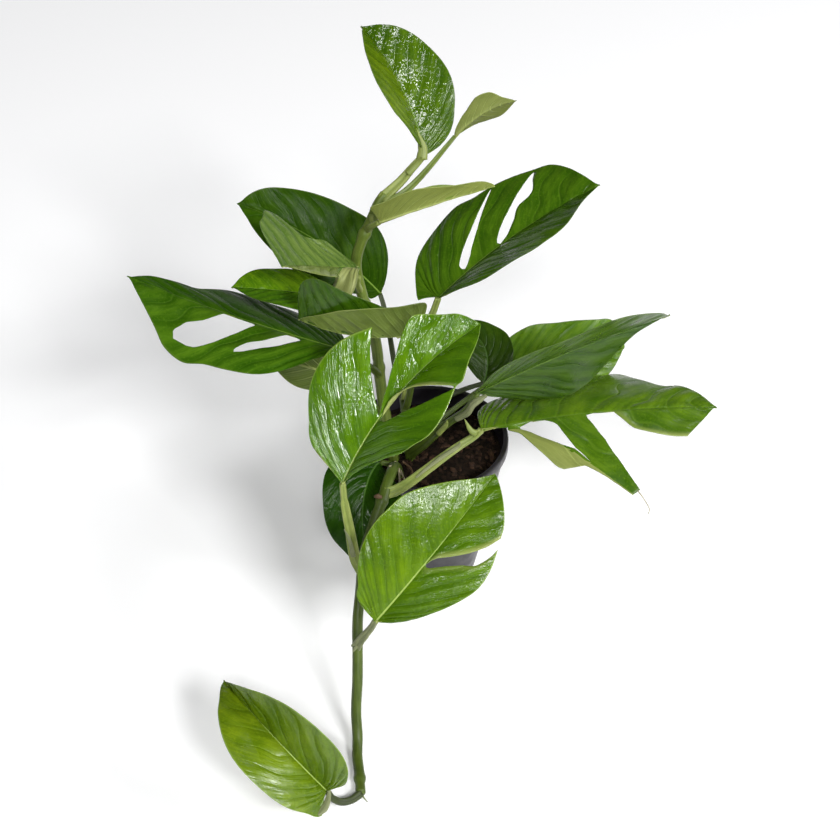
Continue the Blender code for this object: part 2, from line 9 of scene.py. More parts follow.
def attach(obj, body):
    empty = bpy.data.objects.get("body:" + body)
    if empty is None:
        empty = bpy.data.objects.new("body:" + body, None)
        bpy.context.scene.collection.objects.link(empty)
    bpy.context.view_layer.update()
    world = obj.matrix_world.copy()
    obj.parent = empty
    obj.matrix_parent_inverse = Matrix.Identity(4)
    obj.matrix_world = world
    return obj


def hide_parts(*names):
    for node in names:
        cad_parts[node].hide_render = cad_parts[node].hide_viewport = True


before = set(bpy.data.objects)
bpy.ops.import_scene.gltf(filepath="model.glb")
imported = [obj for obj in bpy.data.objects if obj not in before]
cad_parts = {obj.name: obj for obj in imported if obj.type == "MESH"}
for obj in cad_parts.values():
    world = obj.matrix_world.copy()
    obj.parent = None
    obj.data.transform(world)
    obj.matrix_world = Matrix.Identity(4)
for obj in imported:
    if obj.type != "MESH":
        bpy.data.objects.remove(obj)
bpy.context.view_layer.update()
root = "root"
mm = 0.001
percent = 0.01
print("frame loaded:", len(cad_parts), "nodes")


# camera

shot = {"place": (-0.0072, -0.9215, 0.9597), "tilt": 48.561, "lens": 70, "sensor": 36, "clip": 0.01}


def makeCamera():
    data = bpy.data.cameras.new("shotCamera")
    data.lens = shot["lens"]
    data.sensor_width = shot["sensor"]
    data.clip_start = shot["clip"]
    camera = bpy.data.objects.new("shotCamera", data)
    camera.location = shot["place"]
    camera.rotation_euler = (math.radians(shot["tilt"]), 0, 0)
    bpy.context.scene.collection.objects.link(camera)
    bpy.context.scene.camera = camera


makeCamera()
print("camera ready")


# small helpers

class Wiring:
    # short ways to add and join nodes in one tree; a colour is given as three numbers
    def __init__(self, tree):
        self.nodes, self.links = tree.nodes, tree.links

    def put(self, socket, value):
        if isinstance(value, bpy.types.NodeSocket):
            self.links.new(value, socket)
        else:
            socket.default_value = (*value, 1) if socket.type == "RGBA" else value

    def add(self, kind, values, **settings):
        # a new node with its settings and the values of its inputs, by name or by number
        node = self.nodes.new("ShaderNode" + kind)
        for label, value in settings.items():
            setattr(node, label, value)
        self.fill(node, values)
        return node.outputs

    def fill(self, node, values):
        for label, value in values.items():
            self.put(node.inputs[label], value)

    def maths(self, operation, a, b=0.0, clamp=False):
        return self.add("Math", {0: a, 1: b}, operation=operation, use_clamp=clamp)[0]

    def plus(self, a, b, clamp=False):
        return self.maths("ADD", a, b, clamp)

    def minus(self, a, b):
        return self.maths("SUBTRACT", a, b)

    def times(self, a, b, clamp=False):
        return self.maths("MULTIPLY", a, b, clamp)

    def remap(self, value, low, high, toLow=0.0, toHigh=1.0, curve="SMOOTHSTEP"):
        values = {"Value": value, "From Min": low, "From Max": high, "To Min": toLow, "To Max": toHigh}
        return self.add("MapRange", values, interpolation_type=curve)["Result"]

    def mix(self, factor, a, b, blend="MIX"):
        values = {"Factor": factor, "A": a, "B": b}
        return self.add("Mix", values, data_type="RGBA", blend_type=blend)["Result"]

    def noise(self, vector, scale, detail=2.0, roughness=0.5):
        values = {"Vector": vector, "Scale": scale, "Detail": detail, "Roughness": roughness}
        return self.add("TexNoise", values)["Fac"]

    def place(self):
        return self.add("TexCoord", {})["Object"]

    def stretched(self, vector, factors):
        return self.add("VectorMath", {0: vector, 1: factors}, operation="MULTIPLY")[0]

    def map(self, name):
        spot = self.add("UVMap", {}, uv_map=name)[0]
        split = self.add("SeparateXYZ", {0: spot})
        return split["X"], split["Y"], spot

    def group(self, tree, values):
        return self.add("Group", values, node_tree=tree)

    def bump(self, shader, height, strength, distance):
        values = {"Strength": strength, "Distance": distance, "Height": height}
        self.put(shader.inputs["Normal"], self.add("Bump", values)["Normal"])

    def spread(self, clouds, low, high):
        # most of a noise lies between 0.3 and 0.7
        return self.remap(clouds, 0.3, 0.7, low, high)

    def seen(self):
        # one for the camera's rays and for those mirrored or refracted, nothing for scattered light
        rays = self.add("LightPath", {})
        direct = self.plus(rays["Is Camera Ray"], rays["Is Glossy Ray"], True)
        return self.plus(direct, rays["Is Transmission Ray"], True)


def startMaterial(name):
    material = bpy.data.materials.new(name)
    material.use_nodes = True
    return material, material.node_tree.nodes["Principled BSDF"], Wiring(material.node_tree)


def addPiece(name, points, faces, materials, node, maps=None, faceMaterial=None):
    mesh = bpy.data.meshes.new(name)
    mesh.from_pydata([tuple(p) for p in points], [], faces)
    for material in materials:
        mesh.materials.append(material)
    if faceMaterial is not None:
        mesh.polygons.foreach_set("material_index", faceMaterial)
    corners = np.zeros(len(mesh.loops), dtype=np.int32)
    mesh.loops.foreach_get("vertex_index", corners)
    for mapName, values in (maps or {}).items():
        layer = mesh.uv_layers.new(name=mapName)
        layer.uv.foreach_set("vector", np.asarray(values, dtype=np.float32)[corners].ravel())
    mesh.shade_smooth()
    mesh.update()
    piece = bpy.data.objects.new(name, mesh)
    bpy.context.scene.collection.objects.link(piece)
    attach(piece, root)
    if node:
        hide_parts(node)
    return piece


def unit(vectors):
    return vectors / np.maximum(np.linalg.norm(vectors, axis=-1, keepdims=True), 1e-12)


def vertexNormals(points, quads):
    normals = np.zeros_like(points)
    a, b, c, d = (points[quads[:, k]] for k in range(4))
    across = np.cross(c - a, d - b)
    for k in range(4):
        np.add.at(normals, quads[:, k], across)
    return unit(normals)


def softNoise(points, scale, seed):
    return np.array([noise.noise(Vector(p) * scale + Vector((seed, seed * 1.7, -seed))) for p in points])


def hump(distance, width):
    return np.exp(-(distance / width) ** 2)


def ramp(value, width):
    # nothing up to zero, one from the width on
    return np.clip(value / width, 0, 1)


def window(value, low, high, soft):
    return ramp(value - low, soft) * ramp(high - value, soft)


# floor and light

floorLook = {"size": 9.0, "height": -0.0004, "colour": (0.90, 0.90, 0.905), "glow": 0.12}


def makeFloor():
    half = floorLook["size"] / 2
    mesh = bpy.data.meshes.new("studioFloor")
    mesh.from_pydata([(-half, -half, 0), (half, -half, 0), (half, half, 0), (-half, half, 0)],
                     [], [(0, 1, 2, 3)])
    floor = bpy.data.objects.new("studioFloor", mesh)
    floor.location.z = floorLook["height"]
    bpy.context.scene.collection.objects.link(floor)
    material, shader, w = startMaterial("studioWhite")
    w.fill(shader, {"Base Color": floorLook["colour"], "Roughness": 0.9, "Specular IOR Level": 0.1})
    glow = w.add("Emission", {"Strength": w.times(w.seen(), floorLook["glow"])})
    both = w.add("AddShader", {0: shader.outputs[0], 1: glow[0]})
    w.fill(w.nodes["Material Output"], {"Surface": both[0]})
    mesh.materials.append(material)


# each lamp: where it stands, its sides and its power
lamps = {
    "frontLamp": {"place": (0.06, -3.45, 3.48), "size": (1.05, 0.75), "power": 90},
    "keyLamp": {"place": (1.95, -3.12, 3.24), "size": (1.20, 0.84), "power": 185},
    "sideLamp": {"place": (3.98, -0.85, 2.69), "size": (1.20, 0.84), "power": 105},
    "leftLamp": {"place": (-1.68, -3.61, 2.83), "size": (0.39, 0.33), "power": 20},
    "backLamp": {"place": (2.14, 2.55, 3.60), "size": (0.45, 0.39), "power": 12},
}
lampAim = (0, 0, 0.15)
skyLook = {"light": (0.090, 0.092, 0.096), "seen": (1, 1, 1), "overhead": (0.05, 0.05, 0.055),
           "whiteUpTo": 0.04, "darkFrom": 0.25}


def makeLamps():
    for name, lamp in lamps.items():
        data = bpy.data.lights.new(name, "AREA")
        data.shape = "RECTANGLE"
        data.size, data.size_y = lamp["size"]
        data.energy = lamp["power"]
        thing = bpy.data.objects.new(name, data)
        thing.location = lamp["place"]
        away = Vector(lamp["place"]) - Vector(lampAim)
        thing.rotation_euler = away.to_track_quat("Z", "Y").to_euler()
        bpy.context.scene.collection.objects.link(thing)


def makeSky():
    # the white backdrop stands round the object, and the ceiling over it is dark
    world = bpy.data.worlds.new("studioSky")
    bpy.context.scene.world = world
    world.use_nodes = True
    w = Wiring(world.node_tree)
    direction = w.add("SeparateXYZ", {0: w.add("TexCoord", {})["Generated"]})
    rise = w.remap(direction["Z"], skyLook["whiteUpTo"], skyLook["darkFrom"], curve="LINEAR")
    backdrop = w.mix(rise, skyLook["seen"], skyLook["overhead"])
    w.fill(w.nodes["Background"], {"Color": w.mix(w.seen(), skyLook["light"], backdrop)})
    bpy.context.scene.view_settings.view_transform = "Standard"


makeFloor()
makeLamps()
makeSky()
print("floor and light ready")


# shader groups

def newGroup(name, inputs, outputs, colours=()):
    # the sockets named in colours carry a colour, the others a number
    tree = bpy.data.node_groups.new(name, "ShaderNodeTree")
    for way, labels in (("INPUT", inputs), ("OUTPUT", outputs)):
        for label in labels:
            kind = "NodeSocketColor" if label in colours else "NodeSocketFloat"
            tree.interface.new_socket(name=label, in_out=way, socket_type=kind)
    return tree, Wiring(tree), tree.nodes.new("NodeGroupInput").outputs, tree.nodes.new("NodeGroupOutput")


veinLook = {"fineShare": 4, "fineWidth": 0.22, "sideFade": (0.6, 0.97), "edge": (0.975, 0.992),
            "broadGrain": (75.0, 2.4, 9.0), "tightGrain": (190.0, 8.0, 9.0), "broadShare": 0.65}


def makeVeinGroup():
    # veinMap: the place along the margin and the share from midrib to margin; ribMap: the distance from
    # the midrib in centimetres, left of it positive, and the share along it; the hem map: the pale hem with
    # the painted shade of the dark patches, and the count of side veins passed
    tree, w, given, made = newGroup(
        "bladeVeins", ("Vein Width", "Rib Width"),
        ("Side Veins", "Fine Veins", "Midrib", "Margin", "Left", "Pillow", "Streaks"))
    along, out, _ = w.map("veinMap")
    signed, share, _ = w.map("ribMap")
    _, veinCount, _ = w.map("hemAndShadeMap")

    def toNearest(count):
        # the distance from the nearest whole count
        return w.minus(0.5, w.maths("ABSOLUTE", w.minus(w.maths("FRACT", count), 0.5)))

    near = toNearest(veinCount)
    narrow = w.times(given["Vein Width"], w.remap(out, 0.0, 1.0, 1.4, 0.5))
    side = w.times(w.remap(near, 0.0, narrow, 1.0, 0.0), w.remap(out, *veinLook["sideFade"], 1.0, 0.0))
    fineNear = toNearest(w.times(veinCount, veinLook["fineShare"]))
    ribInner = w.times(given["Rib Width"], w.remap(share, 0.0, 1.0, 0.85, 0.2))
    ribOuter = w.times(given["Rib Width"], w.remap(share, 0.0, 1.0, 1.5, 0.5))
    left = w.remap(signed, -0.02, 0.02)
    grain = w.add("CombineXYZ", {"X": along, "Y": out, "Z": left})[0]
    broad = w.noise(w.stretched(grain, veinLook["broadGrain"]), 1.0, 1.0)
    tight = w.noise(w.stretched(grain, veinLook["tightGrain"]), 1.0, 1.0)
    streaks = w.plus(w.times(broad, veinLook["broadShare"]), w.times(tight, 1 - veinLook["broadShare"]))
    w.fill(made, {
        "Side Veins": side, "Left": left, "Streaks": streaks, "Pillow": w.times(near, 2.0),
        "Fine Veins": w.remap(fineNear, 0.0, veinLook["fineWidth"], 1.0, 0.0),
        "Midrib": w.remap(w.maths("ABSOLUTE", signed), ribInner, ribOuter, 1.0, 0.0),
        "Margin": w.remap(out, *veinLook["edge"])})
    return tree


def makeMottleGroup():
    tree, w, given, made = newGroup("mottle", ("Colour A", "Colour B", "Scale", "Contrast"), ("Colour",),
                                    ("Colour A", "Colour B", "Colour"))
    clouds = w.noise(w.place(), given["Scale"], 3.0, 0.6)
    reach = w.minus(0.55, w.times(given["Contrast"], 0.5))
    share = w.remap(clouds, w.minus(0.5, reach), w.plus(0.5, reach))
    w.fill(made, {"Colour": w.mix(share, given["Colour A"], given["Colour B"])})
    return tree


veinGroup = makeVeinGroup()
mottleGroup = makeMottleGroup()


def mottled(w, tone, scale, contrast):
    values = {"Colour A": tone["deep"], "Colour B": tone["light"], "Scale": scale, "Contrast": contrast}
    return w.group(mottleGroup, values)["Colour"]


print("shader groups ready")


# leaf finishes: deep and light mottle, and the colours of veins, midrib and margin
leafTones = {
    "bright": {"deep": (0.050, 0.120, 0.002), "light": (0.160, 0.275, 0.009), "vein": (0.120, 0.230, 0.010),
               "rib": (0.340, 0.460, 0.100), "edge": (0.200, 0.300, 0.050)},
    "green": {"deep": (0.017, 0.060, 0.001), "light": (0.066, 0.146, 0.005), "vein": (0.070, 0.150, 0.010),
              "rib": (0.130, 0.220, 0.030), "edge": (0.070, 0.120, 0.018)},
    "dark": {"deep": (0.009, 0.034, 0.002), "light": (0.024, 0.064, 0.003), "vein": (0.026, 0.075, 0.006),
             "rib": (0.055, 0.120, 0.020), "edge": (0.035, 0.070, 0.012)},
    "olive": {"deep": (0.090, 0.150, 0.018), "light": (0.150, 0.210, 0.030), "vein": (0.170, 0.240, 0.050),
              "rib": (0.260, 0.330, 0.100), "edge": (0.240, 0.290, 0.090)},
}
underTone = {"deep": (0.150, 0.188, 0.034), "light": (0.220, 0.258, 0.052), "vein": (0.270, 0.320, 0.085),
             "rib": (0.330, 0.380, 0.120), "edge": (0.300, 0.340, 0.100)}

# how the faces of a blade differ: an underside has one gloss and streak on all leaves
faceLooks = {
    "upper": {"veinWidth": 0.07, "ribWidth": 0.055, "sideColour": 0.30, "sideHeight": -0.35,
              "fineHeight": -0.10},
    "under": {"veinWidth": 0.09, "ribWidth": 0.10, "sideColour": 0.65, "sideHeight": 0.5,
              "fineHeight": 0.15, "gloss": 0.5, "streak": 0.6},
}


# painted shade and light: the furrow setting darkens the sunken lines along the side veins, the crown
# setting lightens the crests of the pillows between them as a painted highlight, and the dark hem setting is
# painted shade
bladeLook = {"mottle": (30.0, 0.45), "furrowShade": (0.0, 0.8), "crown": (0.5, 1.0), "crownHighlightShare": 0.5,
             "streaks": (0.4, 0.65, 0.0, 0.45), "fleckScale": 600.0, "flecks": (0.55, 0.70, 0.0, 0.45),
             "fineColour": 0.15, "marginColour": 0.7, "ribPaling": (0.25, 0.85), "paintedShadeHem": -0.7,
             "roughScale": 90.0, "rough": (-0.04, 0.08), "ribRough": 0.10, "pebbleScale": 420.0,
             "bump": (0.6, 0.0008)}


def makeBladeMaterial(name, face, leaf):
    material, shader, w = startMaterial(name + "_" + face)
    look = {**bladeLook, **leaf, **faceLooks[face]}
    tone = {**underTone, **leaf["under"]} if face == "under" else leafTones[leaf["tone"]]
    contrast, gloss = look["contrast"], look["gloss"]
    pattern = w.group(veinGroup, {"Vein Width": look["veinWidth"], "Rib Width": look["ribWidth"]})
    _, ribShare, _ = w.map("ribMap")
    # the hem map's first number holds the pale hem and the painted shade of the dark patches
    hem, _, _ = w.map("hemAndShadeMap")
    colour = mottled(w, tone, *look["mottle"])
    # painted shade in the sunken lines along the side veins, and a painted highlight on the crests of the
    # pillows between them, both as strong as the leaf's contrast
    colour = w.mix(w.remap(pattern["Pillow"], *look["furrowShade"], contrast, 0.0), colour, tone["deep"])
    crown = w.remap(pattern["Pillow"], *look["crown"], 0.0, look["crownHighlightShare"] * contrast)
    colour = w.mix(crown, colour, tone["light"])
    colour = w.mix(w.remap(pattern["Streaks"], *look["streaks"]), colour, tone["deep"])
    fleck = w.remap(w.noise(w.place(), look["fleckScale"]), *look["flecks"])
    colour = w.mix(fleck, colour, tone["light"])
    colour = w.mix(w.times(pattern["Fine Veins"], look["fineColour"]), colour, tone["vein"])
    colour = w.mix(w.times(pattern["Side Veins"], look["sideColour"]), colour, tone["vein"])
    if face == "upper":
        # the tints give each half of a leaf partly its own colour and partly painted light and shade: a half
        # lighter or darker as the light falls on it
        leftTintAndLight, rightTintAndLight = leaf["tintsAndPaintedLight"]
        tintAndLight = w.mix(pattern["Left"], rightTintAndLight, leftTintAndLight) if leftTintAndLight != rightTintAndLight else leftTintAndLight
        colour = w.mix(1.0, colour, tintAndLight, "MULTIPLY")
    colour = w.mix(w.times(pattern["Margin"], look["marginColour"]), colour, tone["edge"])
    ribPale = w.remap(ribShare, *look["ribPaling"], *leaf["ribPale"])
    colour = w.mix(w.times(pattern["Midrib"], ribPale), colour, tone["rib"])
    # a positive hem is as pale as the underside, a negative one is painted shade
    colour = w.mix(w.times(hem, 1.0, True), colour, underTone["vein"])
    colour = w.mix(w.times(hem, look["paintedShadeHem"], True), colour, tone["deep"])
    rough = w.spread(w.noise(w.place(), look["roughScale"]), *(gloss + more for more in look["rough"]))
    rough = w.plus(rough, w.times(pattern["Midrib"], look["ribRough"]))
    w.fill(shader, {"Base Color": colour, "Roughness": rough, "Specular IOR Level": leaf["shine"],
                    "IOR": leaf["ior"]})
    height = w.times(pattern["Side Veins"], look["sideHeight"])
    height = w.plus(height, w.times(pattern["Fine Veins"], look["fineHeight"]))
    height = w.plus(height, w.times(pattern["Streaks"], look["streak"]))
    height = w.plus(height, w.times(w.noise(w.place(), look["pebbleScale"], 1.0), leaf["pebble"]))
    w.bump(shader, height, *look["bump"])
    return material


# leaf blades

bladeGrid = {"rows": 112, "columns": 34, "firstRow": 0.03, "lastColumn": 0.965, "nearMargin": 0.985,
             "columnGap": 0.012, "rowGap": 0.4, "bendSteps": 14}
bladeShape = {"sweep": 2.8, "ease": 0.75, "thickness": 0.0006, "marginThickness": 0.00035,
              "liftWidth": 0.0042, "hemWidth": 0.0022, "hemReach": 0.0033, "lobeReach": 0.09, "tipSlim": 0.7,
              "tipReach": 0.025, "dripFrom": 0.93, "wavePower": 2.5, "waveShift": 1.9, "rollSoft": 6,
              "patchSoft": 3, "patchFrom": 0.08, "turnedFrom": 0.03, "partedFull": 0.625}
# widths and depths: shares at the foot and at the tip of the midrib
ribShape = {"grooveWidth": 0.0011, "widths": (1.15, 0.45), "grooveDepth": 0.0003, "ribDepth": 0.0010,
            "depths": (1.1, 0.3)}
quiltShape = {"pillows": 0.9, "pillowPower": 0.8, "wander": 0.6, "wanderScale": 40, "streaks": 0.6,
              "streakGrain": (30, 2.5, 3), "midribFade": 0.16, "marginFade": 0.12, "clearFrom": 1 / 3,
              "unevenness": 0.0008, "unevenScale": 45}

# lengths are in millimetres, angles in degrees, places along the margin and across the blade in percent
# base and tip end the midrib, and face is the way that the upper side looks
# what stands in pairs is for the left and the right half
# outline: how far the margin stands out, at places along it, against the plain leaf outline
# slits: the two edges at places across the blade, how they lift, and how far they show the underside
# rolls: from where to where along the margin, from where across, and by what angle
# patches of a half: from where to where along the margin, and how much paler, or darker with painted shade
# if negative
# turned: the half that lies turned over, from where to where along the margin
# contrast: how strong the painted shade in the vein lines and the painted highlight on the pillow crests are
# tints: colour factors for the left and right half, partly the leaf's own colour and partly painted light
# and shade
leafDefaults = {
    "arch": 0.05, "sway": 0, "crest": 0.5, "twist": 0, "fold": (18, 18), "curl": (-15, -15),
    "blunt": (0.6, 0.6), "taper": (0.9, 0.9), "bow": 1.3, "lobe": (0, 0), "drip": 1,
    "wave": (1.5, 2.3, 0.4), "slits": ([], []), "rolls": ([], []), "turned": None, "patchesAndShade": ([], []),
    "outline": ({0: 100, 100: 100}, {0: 100, 100: 100}), "grid": 1, "tone": "green", "under": {},
    "tintsAndPaintedLight": ((1, 1, 1), (1, 1, 1)), "quilt": 0.7, "veins": 13, "contrast": 0.5, "gloss": 0.20,
    "shine": 0.4, "ior": 1.4, "streak": 0.9, "pebble": 0.2, "ribPale": (0.85, 0.2)}

